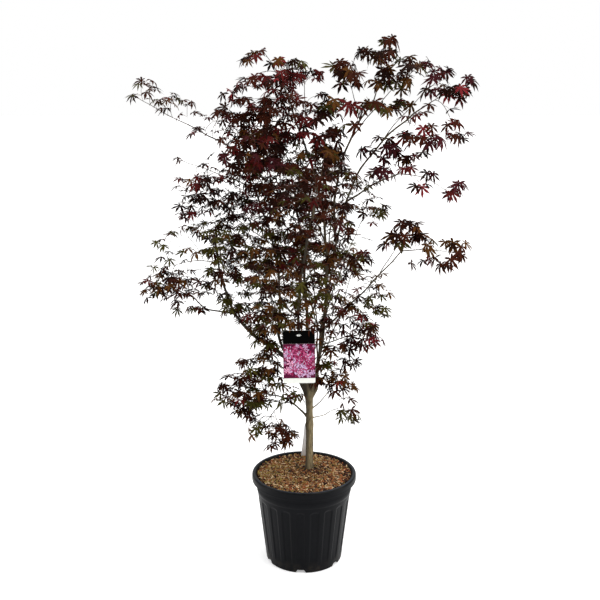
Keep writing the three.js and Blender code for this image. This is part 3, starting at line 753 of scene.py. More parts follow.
def roughen(mesh):
    # smooths the blended trunk, then furrows its bark
    work = bmesh.new()
    work.from_mesh(mesh)
    for turn in range(trunk["smoothings"]):
        bmesh.ops.smooth_vert(
            work, verts=work.verts, factor=0.5, use_axis_x=True, use_axis_y=True, use_axis_z=True)
    work.normal_update()
    for v in work.verts:
        x, y, z = v.co * 1000
        furrow = rough(x / 3.2, y / 3.2, z / 26) + 0.5 * rough(x / 1.5, y / 1.5, z / 9)
        band = 0.35 * rough(x / 20, y / 20, z / 3.5)
        v.co += v.normal * (trunk["furrow"] * (furrow + band) + 0.25) * mm
    work.to_mesh(mesh)
    work.free()


def makeBark():
    material = barkMaterial()
    boughs, stub = Parts(), Parts()
    path, radii, along = woodLaid["trunk"]
    stub.add(*tube(path, radii, trunk["sides"], True))
    for name, (parent, share, tip, bow, girth) in limbs.items():
        path, radii, along = woodLaid[name]
        parentRadius = float(placeAt(woodLaid[parent][1][:, None], share)[0])
        flare = 1 + wood["collar"] * np.exp(-np.maximum(along - parentRadius, 0) / (radii[0] * 1.3))
        wide = np.minimum(radii * flare, max(parentRadius * 0.92, radii[0]))
        boughs.add(*tube(path, np.maximum(wide, radii * 0.98), wood["sides"], True))
        if parent == "trunk":                                  # each stem's start is blended into the trunk
            reach = min(wood["blendReach"], along[-1] * 0.5)
            keep = along <= reach
            fade = smoothStep(reach, reach * 0.45, along[keep])
            stub.add(*tube(path[keep], wide[keep] * (0.9 + 0.2 * fade), wood["blendSides"], True))
    boughs.piece("boughBark", material, "bark", list(limbs))
    raw = stub.piece("trunkBark", material, "bark", ("trunk",))
    remesh = raw.modifiers.new("blend", "REMESH")
    remesh.mode = "VOXEL"
    remesh.voxel_size = trunk["voxel"] * mm
    blended = bpy.data.meshes.new_from_object(raw.evaluated_get(bpy.context.evaluated_depsgraph_get()))
    raw.modifiers.clear()
    raw.data = blended
    roughen(blended)
    blended.polygons.foreach_set("use_smooth", [True] * len(blended.polygons))
    if not blended.materials:
        blended.materials.append(material)


makeBark()
print("bark made")


# twigs grown on from the limbs
twigs = {
    "seed": 52,
    "step": 12.0, "kill": 14.0, "inertia": 0.55, "wander": 0.16, "lift": 0.5, "rounds": 120,
    "bareLimb": 95, "bareShare": 0.3, "shortLimb": 260, "bareShoot": 14,    # bare length at the foot
    "apart": 0.62, "fillerGap": 24, "tierDip": 0.10, "boxMargin": 8, "tries": 60,
    "tipRadius": 0.55, "pipe": 2.35, "sag": 5.0, "sagReach": 220, "sides": 5,
    "clearingPlane": 30.0,
    "leafReach": (48.0, 48.0, 30.0),     # how far a leaf may stand out past its growing point
}
# gap: mm between growing points; layer: mm between tiers; level: how far points gather into them;
# hang: blade droop in degrees; inset: mm from the outside; size: of its leaves; limp: share that droop
styles = {
    "tier": {"gap": 49, "layer": 46, "level": 0.6, "hang": (17, 15), "inset": 2, "size": 0.92, "limp": 0.40},
    "core": {"gap": 49, "layer": 50, "level": 0.4, "hang": (20, 18), "inset": -9, "size": 0.86, "limp": 0.40},
    "plume": {"gap": 49, "layer": 56, "level": 0.2, "hang": (38, 22), "inset": 0, "size": 0.98, "limp": 0.25},
    "open": {"gap": 57, "layer": 60, "level": 0.0, "hang": (46, 24), "inset": -10, "size": 1.2, "limp": 0.15},
    "skirt": {"gap": 43, "layer": 40, "level": 0.5, "hang": (28, 18), "inset": 2, "size": 0.98, "limp": 0.35},
}
masses = {        # how each mass grows, its mix of tints and the share of its growing points that it keeps
    "spray_far_left": ("tier", "earthy", 0.36), "shoulder_left": ("tier", "plummy", 0.7),
    "plume_left": ("plume", "ruby", 0.7), "plume_left_tip": ("plume", "rusty", 0.5),
    "crown_upper_left": ("plume", "dusky", 1), "tier_upper_left": ("tier", "dusky", 1),
    "crown_left": ("core", "dusky", 1), "tier_left": ("tier", "mossy", 0.6),
    "spray_low_arm_left": ("tier", "earthy", 0.8), "crown_mid_left": ("core", "mossy", 0.9),
    "crown_low_left": ("core", "mossy", 1), "crown_top": ("open", "earthy", 0.62),
    "crown_upper": ("core", "earthy", 0.7), "crown_heart": ("core", "dusky", 0.72),
    "crown_mid": ("core", "earthy", 0.66), "tip_top_right": ("open", "amber", 0.34),
    "crest_right": ("open", "amber", 0.52), "spray_far_right": ("open", "plummy", 0.5),
    "shoulder_right": ("open", "plummy", 0.6), "spray_droop_right": ("open", "plummy", 0.5),
    "crown_right": ("core", "earthy", 0.7), "spray_arm_right": ("open", "earthy", 0.55),
    "crown_low_right": ("core", "rusty", 0.6), "tip_low_right": ("skirt", "plummy", 0.8),
    "droop_low_right": ("skirt", "rusty", 1), "skirt_left_upper": ("skirt", "rusty", 1),
    "skirt_left": ("skirt", "rusty", 1), "skirt_left_droop": ("skirt", "amber", 1),
    "skirt_right_upper": ("skirt", "rusty", 1), "skirt_right": ("skirt", "rusty", 0.6),
    "crown_back_high": ("core", "earthy", 0.85), "crown_back_low": ("core", "mossy", 0.85),
    "crown_front_high": ("core", "earthy", 0.72), "crown_front_low": ("core", "mossy", 0.72),
}
overLead = {"spray_far_left": "leadFarLeft"}       # a mass that grows only upwards from its long shoot
fillers = [       # thin growth between the masses: gathered with, centre, half size, how many
    ("crown_low_left", (-70, 5, 700), (48, 70, 62), 26),
    ("crown_low_right", (62, 15, 690), (40, 70, 80), 21),
    ("crown_low_right", (92, 20, 770), (60, 80, 50), 10),
    ("tier_upper_left", (-332, 20, 1090), (35, 60, 23), 6),
    ("tier_upper_left", (-216, 20, 1078), (35, 60, 47), 14),
    ("tier_left", (-275, 20, 1020), (35, 60, 29), 7),
    ("crown_mid_left", (-218, 20, 975), (29, 60, 30), 5),
    ("tier_left", (-402, 20, 906), (35, 60, 24), 5),
    ("crown_mid_left", (-279, 20, 888), (35, 60, 36), 9),
    ("crown_right", (135, 20, 912), (35, 60, 36), 7),
    ("spray_arm_right", (193, 20, 954), (35, 60, 42), 4),
    ("crown_low_left", (-42, 20, 735), (36, 60, 15), 4),
    ("tip_low_right", (197, 20, 720), (36, 60, 25), 3),
    ("crown_low_left", (-103, 20, 667), (36, 60, 31), 9),
    ("skirt_left_upper", (-103, 20, 591), (36, 60, 32), 11),
    ("skirt_left", (-104, 20, 524), (37, 60, 29), 8),
    ("skirt_left", (-166, 20, 482), (37, 60, 26), 7),
    ("skirt_left_upper", (-49, 20, 520), (24, 60, 22), 4),
    ("skirt_right_upper", (79, 20, 546), (30, 60, 26), 4),
    ("crest_right", (119, 20, 1478), (28, 60, 24), 5),
    ("crest_right", (296, 20, 1476), (34, 60, 27), 7),
    ("plume_left", (-18, 20, 1313), (57, 60, 28), 14),
    ("crown_top", (73, 20, 1251), (29, 60, 62), 9),
    ("crown_mid_left", (-150, 10, 1075), (44, 60, 90), 15),
    ("skirt_left_droop", (-56, 20, 390), (19, 60, 20), 3),
    ("spray_arm_right", (312, 20, 1000), (40, 40, 24), 6),
    ("tip_top_right", (232, 30, 1545), (24, 36, 14), 4),
    ("shoulder_left", (-262, 20, 1250), (40, 40, 24), 6),
    ("crown_low_left", (-107, -10, 709), (30, 34, 25), 6),
    ("skirt_left_upper", (-102, -10, 647), (36, 34, 34), 8),
    ("skirt_left_upper", (-96, -10, 569), (30, 34, 22), 3),
    ("crown_low_right", (52, -14, 700), (15, 26, 90), 6),
    ("skirt_right_upper", (53, -10, 597), (18, 34, 37), 5),
    ("skirt_left", (-31, -10, 541), (24, 34, 19), 5),
    ("crown_back_high", (-60, 150, 1170), (140, 62, 120), 28),
    ("crown_back_low", (-50, 160, 920), (150, 62, 100), 24),
    ("crown_front_high", (-50, -90, 1160), (130, 48, 110), 18),
    ("crown_front_low", (-60, -105, 930), (140, 48, 90), 14),
]
# open sky through the crown, from the front: centre and half size across and up, share of leaves kept
clearings = {
    "shoulder": ((-241, 1293), (51, 45), 0.4),
    "centre": ((-42, 1084), (35, 35), 0.5),
    "heart": ((75, 1020), (38, 44), 0.45),
    "tierLeft": ((-353, 980), (60, 48), 0.25),
    "midRight": ((188, 1010), (46, 60), 0.5),
    "tierGap": ((-372, 1180), (60, 34), 0.35),
    "armRight": ((316, 960), (52, 40), 0.35),
    "rightLow": ((213, 1148), (58, 29), 0.45),
    "crest": ((157, 1424), (62, 30), 0.5),
    "plumeRight": ((16, 1429), (31, 38), 0.3),
    "farRight": ((361, 1385), (57, 39), 0.4),
    "rightShoulder": ((183, 1205), (34, 28), 0.45),
    "plumeTop": ((-102, 1511), (34, 48), 0.5),
    "upperCentre": ((-24, 1256), (51, 28), 0.4),
    "lowCentre": ((35, 861), (59, 42), 0.6),
    "lowRight": ((112, 880), (38, 44), 0.7),
    "farLeft": ((-341, 1368), (62, 33), 0.4),
    "leftLow": ((-220, 855), (36, 30), 0.5),
}
viewer = np.array(studio["cameraAt"]) / mm
cardLow, cardHigh = (np.array(c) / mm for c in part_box("picture_card"))
crownLow, crownHigh = (np.array(c) / mm for c in cadBox)
cardView = {      # nothing grows between the card and a viewer in front of it
    "plane": cardLow[1] + 1.5,
    "across": (cardLow[0] - 8, cardHigh[0] + 8), "up": (cardLow[2] - 4, cardHigh[2] + 3),
}


def seenOn(plane, p):
    # where the line from the viewer through a point meets an upright plane
    x, y, z = viewer + (np.asarray(p) - viewer) * ((plane - viewer[1]) / (p[1] - viewer[1]))
    return x, z


def hidesCard(p):
    if p[1] > cardView["plane"]:
        return False
    x, z = seenOn(cardView["plane"], p)
    return cardView["across"][0] < x < cardView["across"][1] and cardView["up"][0] < z < cardView["up"][1]


def leafShare(p):
    # how many of the leaves at a point are kept
    x, z = seenOn(twigs["clearingPlane"], p)
    shares = [share for (cx, cz), (hx, hz), share in clearings.values()
              if ((x - cx) / hx) ** 2 + ((z - cz) / hz) ** 2 < 1]
    return min(shares, default=1.0)


def underLead(name, p):
    if name not in overLead:
        return False
    path = woodLaid[overLead[name]][0]
    near = path[np.argmin(np.abs(path[:, 0] - p[0]))]
    return p[2] < near[2] + 8


def leavesCrown(p):
    reach = np.array(twigs["leafReach"])
    return bool(np.any(p < crownLow + reach) or np.any(p > crownHigh - reach))


def massTree(name):
    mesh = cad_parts[name].data
    points, faces = [v.co * 1000 for v in mesh.vertices], [tuple(p.vertices) for p in mesh.polygons]
    return BVHTree.FromPolygons(points, faces)


massTrees = {name: massTree(name) for name in masses}


def depthInside(name, p):
    # how deep a point lies in a mass, mm, below 0 outside it
    near, normal, index, away = massTrees[name].find_nearest(Vector(p))
    return away if (Vector(p) - near).dot(normal) < 0 else -away


def growingPoints():
    # the points that twigs grow towards, and the mass of each
    deal = np.random.RandomState(twigs["seed"])
    points, homes = [], []

    def gapAround(p):
        return np.min(np.linalg.norm(np.array(points) - p, axis=1)) if points else np.inf

    for name, (styleName, mixName, share) in masses.items():
        style = styles[styleName]
        low, high = (np.array(c) * 1000 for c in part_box(name))
        low, high = low - twigs["boxMargin"], high + twigs["boxMargin"]
        inset = min(style["inset"], 0.25 * float(min(high - low)) / 2)
        volume = float(np.prod(high - low)) * 0.52
        wanted = max(int(volume / style["gap"] ** 3 * 1.15 * share), 4)
        found, tries = 0, 0
        while found < wanted and tries < wanted * twigs["tries"]:
            tries += 1
            p = low + deal.rand(3) * (high - low)
            drop = twigs["tierDip"] * math.hypot(p[0] - 15, p[1] - 30)       # tiers dip outwards
            tier = round((p[2] + drop) / style["layer"]) * style["layer"] - drop
            p[2] += (tier - p[2]) * style["level"] + 5
            if depthInside(name, p) < inset or hidesCard(p) or leavesCrown(p) or underLead(name, p):
                continue
            if deal.rand() > leafShare(p) or gapAround(p) < style["gap"] * twigs["apart"] / share ** 0.3:
                continue
            points.append(p)
            homes.append(name)
            found += 1
    for home, centre, half, wanted in fillers:
        for turn in range(wanted):
            p = np.array(centre) + np.array(half) * unit(deal.normal(0, 1, 3)) * deal.rand() ** (1 / 3)
            if not hidesCard(p) and not leavesCrown(p) and gapAround(p) > twigs["fillerGap"]:
                points.append(p)
                homes.append(home)
    return np.array(points), homes


def growTwigs(points):
    # every growing point pulls the nearest wood until a twig reaches it
    deal = np.random.RandomState(twigs["seed"] + 1)
    place, parent, heading, onLimb = [], [], [], []
    for name, (path, radii, along) in woodLaid.items():
        if name == "trunk":
            continue
        bare = twigs["bareShare"] * along[-1] if along[-1] < twigs["shortLimb"] else twigs["bareLimb"]
        bare = twigs["bareShoot"] if name in leaders else bare
        for i in range(len(path)):
            if along[i] >= bare:
                place.append(path[i])
                parent.append(-1)
                heading.append(unit(path[min(i + 1, len(path) - 1)] - path[max(i - 1, 0)]))
                onLimb.append(float(radii[i]))
    count = len(points)
    nearest, worth, alive = np.full(count, -1), np.full(count, np.inf), np.ones(count, dtype=bool)
    children = {}

    def weigh(fresh):
        spots = np.array([place[k] for k in fresh])
        aims = np.array([heading[k] for k in fresh])
        for a in np.nonzero(alive)[0]:
            gap = points[a] - spots
            away = np.linalg.norm(gap, axis=1)
            ahead = np.sum(gap * aims, axis=1) / np.maximum(away, 1e-6)
            cost = away * (1.3 - 0.42 * ahead)
            k = int(np.argmin(cost))
            if cost[k] < worth[a]:
                worth[a], nearest[a] = cost[k], fresh[k]
            if np.min(away) < twigs["kill"]:
                alive[a] = False

    def crowded(k, spot, share):
        return any(np.linalg.norm(spot - place[c]) < share * twigs["step"] for c in children.get(k, []))

    weigh(list(range(len(place))))
    for turn in range(twigs["rounds"]):
        pulls = {}
        for a in np.nonzero(alive)[0]:
            k = int(nearest[a])
            pulls.setdefault(k, []).append(unit(points[a] - place[k]))
        fresh = []
        for k, pull in sorted(pulls.items()):
            lift = (0, 0, twigs["lift"] if onLimb[k] else 0)    # side shoots first rise, then spread
            towards = unit(np.sum(pull, axis=0)) + twigs["inertia"] * heading[k] + lift
            aim = unit(towards + deal.normal(0, twigs["wander"], 3))
            spot = place[k] + aim * twigs["step"]
            if crowded(k, spot, 0.4):
                aim = unit(pull[int(deal.randint(len(pull)))] + deal.normal(0, 0.1, 3))
                spot = place[k] + aim * twigs["step"]
                if crowded(k, spot, 0.3):
                    continue
            children.setdefault(k, []).append(len(place))
            fresh.append(len(place))
            place.append(spot)
            parent.append(k)
            heading.append(aim)
            onLimb.append(0.0)
        if not fresh:
            break
        weigh(fresh)
        if not alive.any():
            break
    return np.array(place), parent, onLimb, children


def twigPaths(place, parent, onLimb, children):
    # thickness by the pipe rule, then unbroken paths from each fork to its tip
    count = len(place)
    load = np.zeros(count)
    for k in range(count - 1, -1, -1):
        kids = children.get(k, [])
        if not onLimb[k]:
            load[k] = sum(load[c] for c in kids) if kids else twigs["tipRadius"] ** twigs["pipe"]
    radius = np.array([onLimb[k] or load[k] ** (1 / twigs["pipe"]) for k in range(count)])
    moved = place.copy()
    for turn in range(3):
        before = moved.copy()
        for k in range(count):
            kids = children.get(k, [])
            if parent[k] >= 0 and kids:
                main = max(kids, key=lambda c: radius[c])
                moved[k] = before[k] * 0.5 + (before[parent[k]] + before[main]) * 0.25
    reach = np.zeros(count)
    for k in range(count):
        if parent[k] >= 0:
            reach[k] = reach[parent[k]] + twigs["step"]
    moved[:, 2] -= twigs["sag"] * np.minimum(reach / twigs["sagReach"], 1.4) ** 2
    paths = []
    starts = [(k, c) for k in range(count) if onLimb[k] for c in children.get(k, [])]
    while starts:
        root, k = starts.pop()
        path = [root, k]
        while children.get(k):
            kids = sorted(children[k], key=lambda c: -radius[c])
            starts += [(k, other) for other in kids[1:]]
            k = kids[0]
            path.append(k)
        paths.append(path)
    return moved, radius, paths


pointsToReach, pointHomes = growingPoints()
print("growing points", len(pointsToReach))
twigPlace, twigRadius, twigRuns = twigPaths(*growTwigs(pointsToReach))
print("twig steps", len(twigPlace), "runs", len(twigRuns))


# leaves
leaf = {
    "seed": 88, "kinds": 10,
    "length": 35.0,                # middle lobe, from the stalk
    "pairGap": 41.0,               # along a twig
    "stalk": (13, 30), "stalkRadii": (0.55, 0.42, 0.38),
    "flatDroop": (0.05, 0.28), "limpDroop": (0.28, 0.58),
    "lobes": {                     # their angles and lengths, from the middle outwards, and their width
        7: ((0, 37, 76, 122), (1.0, 0.93, 0.74, 0.42), 0.114),
        5: ((0, 43, 92), (1.0, 0.9, 0.62), 0.135),
    },
    "outline": ((0.32, 0.0), (0.46, 0.84), (0.59, 1.0), (0.79, 0.52), (1.0, 0.0)),    # along a lobe, width
    "missing": 0.12, "thickest": 1.5,    # share of leaves not there, and the thickest twig that bears them
    "patch": (90, 70),             # leaves this close, across and up, share a leading tint
    "leading": 0.3,
}
tints = {      # name: sRGB blade, sRGB vein
    "darkMaroon": ((27, 9, 4), (54, 25, 16)),
    "maroon": ((52, 21, 10), (88, 44, 27)),
    "wine": ((76, 21, 20), (114, 44, 40)),
    "plum": ((56, 20, 24), (94, 44, 48)),
    "crimson": ((104, 26, 31), (146, 54, 54)),
    "bronze": ((72, 43, 15), (110, 78, 38)),
    "olive": ((55, 51, 17), (94, 88, 40)),
    "scarlet": ((120, 38, 29), (160, 70, 52)),
}
mixes = {      # shares of each tint
    "ruby": {"darkMaroon": 3.4, "maroon": 2.6, "wine": 3.4, "crimson": 0.8, "bronze": 0.4},
    "dusky": {"darkMaroon": 6, "maroon": 3, "wine": 1.0, "plum": 1.0, "bronze": 0.8, "olive": 0.3},
    "earthy": {"darkMaroon": 4, "maroon": 3.6, "wine": 0.7, "crimson": 0.1, "bronze": 2.4, "olive": 1.1},
    "amber": {"darkMaroon": 2.4, "maroon": 2.6, "wine": 0.2, "bronze": 3.8, "olive": 2.3},
    "plummy": {"darkMaroon": 3.4, "maroon": 1.4, "wine": 1.8, "plum": 4, "crimson": 0.6, "bronze": 0.5},
    "mossy": {"darkMaroon": 3.6, "maroon": 1.8, "wine": 0.2, "bronze": 2.4, "olive": 3.8},
    "rusty": {
        "darkMaroon": 2.6, "maroon": 3, "wine": 0.6, "crimson": 0.35, "bronze": 3.4, "olive": 2,
        "scarlet": 0.1},
}


def leafKind(deal, lobes, droop):
    # one palmate blade: points, faces and leaf map; stalk joins at 0, middle lobe along +X, +Z up
    spread, lengths, width = leaf["lobes"][lobes]
    half = len(spread) - 1
    lobeList = []
    for side in range(-half, half + 1):
        k = abs(side)
        a = math.copysign(math.radians(spread[k]), side) if side else 0.0
        lobeList.append((a + math.radians(deal.gauss(0, 3.5)), lengths[k] * deal.uniform(0.92, 1.06)))
    fold = deal.uniform(0.15, 0.55)
    points, faces, leafMap = [(0.0, 0.0, 0.0)], [], [(0.0, 0.0)]

    def put(x, y, lift, u, v):
        points.append((x, y, -droop * (x * x + y * y) * 0.9 + lift))
        leafMap.append((u, v))
        return len(points) - 1

    sinuses = []
    for i in range(len(lobeList) + 1):
        if i in (0, len(lobeList)):
            a = lobeList[0][0] - math.radians(24) if i == 0 else lobeList[-1][0] + math.radians(24)
            r = 0.13
        else:
            a = (lobeList[i - 1][0] + lobeList[i][0]) / 2
            r = 0.2 * min(lobeList[i - 1][1], lobeList[i][1]) / 0.85 + deal.uniform(-0.02, 0.02)
        sinuses.append(put(r * math.cos(a), r * math.sin(a), fold * 0.06, 1.0, r))
    for i, (a, length) in enumerate(lobeList):
        bend = deal.gauss(0, 0.07) + 0.05 * math.copysign(1, a) * (abs(a) > 0.3)
        wide = width * (0.6 + 0.4 * length) * deal.uniform(0.9, 1.12)
        dip = deal.uniform(-0.05, 0.12)
        rows = []
        for t, w in leaf["outline"]:
            turn = a + bend * t * t
            cx, cy = length * t * math.cos(turn), length * t * math.sin(turn)
            nx, ny = -math.sin(turn) * wide * w, math.cos(turn) * wide * w
            row = [put(cx, cy, -dip * t * t, 0.0, t)]
            if w:
                # the sides keep the midrib's droop, so the blade folds up along it
                z = points[-1][2] + fold * wide * w * 0.75
                for x, y in ((cx - nx, cy - ny), (cx + nx, cy + ny)):
                    points.append((x, y, z))
                    leafMap.append((1.0, t))
                    row.append(len(points) - 1)
                row = [row[1], row[0], row[2]]
            rows.append(row)
        s0, s1 = sinuses[i], sinuses[i + 1]
        (base,), second, third, fourth, (tip,) = rows
        faces += [(0, s0, base), (0, base, s1)]
        faces += [(s0, second[0], second[1], base), (base, second[1], second[2], s1)]
        for near, far in ((second, third), (third, fourth)):
            faces += [(near[0], far[0], far[1], near[1]), (near[1], far[1], far[2], near[2])]
        faces += [(fourth[0], tip, fourth[1]), (fourth[1], tip, fourth[2])]
    return np.array(points), faces, np.array(leafMap)


def leafKinds(deal, droop):
    return [leafKind(deal, 7 if k % 3 else 5, deal.uniform(*droop)) for k in range(leaf["kinds"])]


def leafMaterial(name, blade, vein):
    material, g, shader = newMaterial(name, 0.58, 0.04)
    patchy = mottled(g, 55.0, 1.6, tinted(blade, 0.78), tinted(blade, 1.25))
    veined = g.group(veinGroup, {"Blade": patchy["Color"], "Vein": tinted(vein), "Strength": 0.55})
    g.link(veined["Color"], shader.inputs["Base Color"])
    g.bump(shader, veined["Height"], 0.0006, 0.4)
    return material


def makeLeaves():
    deal = random.Random(leaf["seed"])
    flatKinds, limpKinds = (leafKinds(deal, leaf[droop]) for droop in ("flatDroop", "limpDroop"))
    piles = {name: Parts() for name in tints}
    stalks, shoots = Parts(), Parts()
    homeTree = KDTree(len(pointsToReach))
    for i, p in enumerate(pointsToReach):
        homeTree.insert(Vector(p), i)
    homeTree.balance()
    up = np.array([0.0, 0.0, 1.0])

    def hangLeaf(base, aim, style, tint, size):
        share = leafShare(base + aim * 30)
        if hidesCard(base + aim * 40) or (share < 1 and deal.random() > share):
            return
        size = size * style["size"]
        stalk = deal.uniform(*leaf["stalk"]) * size
        aim = unit(aim + up * deal.uniform(-0.1, 0.35))
        joint = base + aim * stalk - up * 0.10 * stalk
        middle = base + aim * stalk * 0.5 + up * 0.06 * stalk
        stalks.add(*tube([base, middle, joint], leaf["stalkRadii"], 3))
        flat = unit(np.array([aim[0], aim[1], 0.0]) + np.array([deal.gauss(0, 0.2), deal.gauss(0, 0.2), 0]))
        hang = math.radians(max(-12, min(88, deal.gauss(*style["hang"]))))
        forward = flat * math.cos(hang) - up * math.sin(hang)
        level = unit(np.cross(up, flat))
        upright = np.cross(forward, level)
        roll = deal.gauss(0, 0.34)
        across = level * math.cos(roll) + upright * math.sin(roll)
        normal = upright * math.cos(roll) - level * math.sin(roll)
        kinds = limpKinds if deal.random() < style["limp"] else flatKinds
        points, faces, leafMap = kinds[deal.randrange(len(kinds))]
        mirror = deal.choice((-1, 1))
        basis = np.stack([forward, across * mirror, normal])
        if mirror < 0:
            faces = [tuple(reversed(f)) for f in faces]
        piles[tint].add(joint + (points * (leaf["length"] * size)) @ basis, faces, leafMap)

    def pickTint(mix, leading):
        return leading if deal.random() < leaf["leading"] else deal.choices(list(mix), list(mix.values()))[0]

    def growth(spot):
        home = pointHomes[homeTree.find(Vector(spot))[1]]
        styleName, mixName, share = masses[home]
        return home, styles[styleName], mixes[mixName]

    leadingTints = {}
    for run in twigRuns:
        path = twigPlace[run]
        end = path[-1]
        home, style, mix = growth(end)
        patch = (home, int(end[0] // leaf["patch"][0]), int(end[2] // leaf["patch"][1]))
        if patch not in leadingTints:
            leadingTints[patch] = deal.choices(list(mix), list(mix.values()))[0]
        leading = leadingTints[patch]
        radii = np.minimum(twigRadius[run], 0.8 * twigRadius[run[0]] + 0.25)
        radii[0] = radii[1]
        shoots.add(*tube(path, np.maximum(radii, 0.5), twigs["sides"]))
        travelled, nextPair = 0.0, deal.uniform(16, 34)
        for i in range(1, len(path) - 1):
            travelled += float(np.linalg.norm(path[i] - path[i - 1]))
            if travelled < nextPair or radii[i] > leaf["thickest"]:
                continue
            nextPair = travelled + leaf["pairGap"] * deal.uniform(0.8, 1.2)
            ahead = unit(path[i + 1] - path[i - 1])
            side = unit(np.cross(ahead, up) + np.array([deal.gauss(0, 0.2) for _ in range(3)]))
            for s in (-1, 1):
                if deal.random() < leaf["missing"]:
                    continue
                aim = unit(side * s + ahead * deal.uniform(0.35, 0.8))
                hangLeaf(path[i], aim, style, pickTint(mix, leading), deal.uniform(0.85, 1.12))
        ahead = unit(end - path[-2])
        side = unit(np.cross(ahead, up) + np.array([deal.gauss(0, 0.15) for _ in range(3)]))
        for s in (-1, 1):
            aim = unit(side * s * deal.uniform(0.5, 0.9) + ahead)
            hangLeaf(end, aim, style, pickTint(mix, leading), deal.uniform(0.72, 1.0))
        if deal.random() < 0.4:
            hangLeaf(end, ahead, style, pickTint(mix, leading), deal.uniform(0.6, 0.85))
    for name in leaders:
        path, radii, along = woodLaid[name]
        shoots.add(*tube(path, radii, 7, True))
        home, style, mix = growth(path[-1])
        ahead = unit(path[-1] - path[-3])
        side = unit(np.cross(ahead, up))
        for aside in (-0.8, 0.1, 0.8):                          # every long shoot ends in leaves
            aim = unit(side * aside + ahead)
            hangLeaf(path[-1], aim, style, pickTint(mix, "maroon"), deal.uniform(0.7, 0.95))
    skin = mottledMaterial("youngTwigs", 0.6, 0.3, 60.0, 2.0, tinted((44, 30, 24)), tinted((84, 66, 46)))
    shoots.piece("twigs", skin, "bark", masses)
    skin = mottledMaterial("leafStalks", 0.5, 0.3, 40.0, 1.5, tinted((70, 22, 24)), tinted((116, 44, 38)))
    stalks.piece("leafStalks", skin, "leaves_dark_red", masses)
    for name, (blade, vein) in tints.items():
        material = leafMaterial(name + "Leaf", blade, vein)
        made = piles[name].piece(name + "Leaves", material, "leaves_dark_red", masses)
        print(made.name, len(made.data.polygons))
    print("leaves", sum(len(pile.maps) for pile in piles.values()))


makeLeaves()


# picture card, its strap and the stick label
card = {
    "width": 92.0, "height": 158.0, "thick": 1.0, "corner": 5.0, "slotDrop": 14.5, "slotSize": (12.0, 5.0),
    "lean": 0.9,                   # degrees, right side up
    "header": 39.5, "strip": 15.0, "border": 0.15, "headerCorner": 4.9, "inkCorner": 0.4, "inkThick": 0.06,
    "seed": 31, "blossoms": 96, "blossomSize": (8.5, 18.0),
    "petal": 0.15, "petalShade": 0.225, "eye": 0.13,       # half widths, as shares of a blossom's size
    "strapLong": 20.0, "strapWide": 9.0, "strapRadius": 1.0, "strapSlope": 50.0, "strapSteps": (56, 8),
}
inks = {       # sRGB, with the shade beneath each petal last
    "cardRose": (182, 76, 122), "cardBlush": (232, 162, 194), "cardLilac": (202, 168, 204),
    "cardCerise": (144, 30, 72), "cardShade": (88, 22, 52),
}
slotAt = (*((cardLow + cardHigh) / 2)[:2], cardHigh[2] - card["slotDrop"])


def roundedBox(x0, z0, x1, z1, corner, steps=6):
    # corner is one radius, or one for each corner, from lower left and counter-clockwise
    radii = corner if isinstance(corner, tuple) else (corner,) * 4
    corners = ((x0, z0, 1, 1, 180), (x1, z0, -1, 1, 270), (x1, z1, -1, -1, 0), (x0, z1, 1, -1, 90))
    outline = []
    for (cx, cz, sx, sz, start), r in zip(corners, radii):
        for k in range(steps + 1):
            a = math.radians(start + 90 * k / steps)
            outline.append((cx + sx * r + r * math.cos(a), cz + sz * r + r * math.sin(a)))
    return outline


def ovalHole(wide, high, steps=20):
    return [(wide / 2 * math.cos(-a), high / 2 * math.sin(-a)) for a in turns(steps)]


def plate(outline, holes, front, back):
    # a flat piece in the XZ plane, between two depths, with an edge all round
    loops = [outline, *holes]
    flat = [Vector((x, z, 0)) for loop in loops for x, z in loop]
    triangles = tessellate_polygon([[Vector((x, z, 0)) for x, z in loop] for loop in loops])
    n = len(flat)
    points = [(p.x, front, p.y) for p in flat] + [(p.x, back, p.y) for p in flat]
    faces = []
    for a, b, c in triangles:
        turned = (flat[b] - flat[a]).cross(flat[c] - flat[a]).z > 0
        a, b, c = (a, b, c) if turned else (a, c, b)
        faces += [(a, b, c), (n + a, n + c, n + b)]
    start = 0
    for loop in loops:
        m = len(loop)
        for k in range(m):
            here, there = start + k, start + (k + 1) % m
            faces.append((here, n + here, n + there, there))
        start += m
    return points, faces


def hung(points):
    # from the card's own plane, slot at 0, to where it hangs
    a = math.radians(card["lean"])
    x, y, z = np.array(points, dtype=float).T
    turned = np.stack([x * math.cos(a) - z * math.sin(a), y, x * math.sin(a) + z * math.cos(a)], axis=1)
    return turned + slotAt


def printMaterial(name, colour, roughness, gloss=0.2):
    return mottledMaterial(name, roughness, gloss, 120.0, 0.9, tinted(colour, 0.92), tinted(colour, 1.06, 2))


def cardPiece(name, pile, material):
    pile.piece(name, material, "card_pink", ("picture_card",), False)


def cardPlate(name, outline, holes, front, back, material):
    sheet = Parts()
    points, faces = plate(outline, holes, front, back)
    sheet.add(hung(points), faces)
    cardPiece(name, sheet, material)


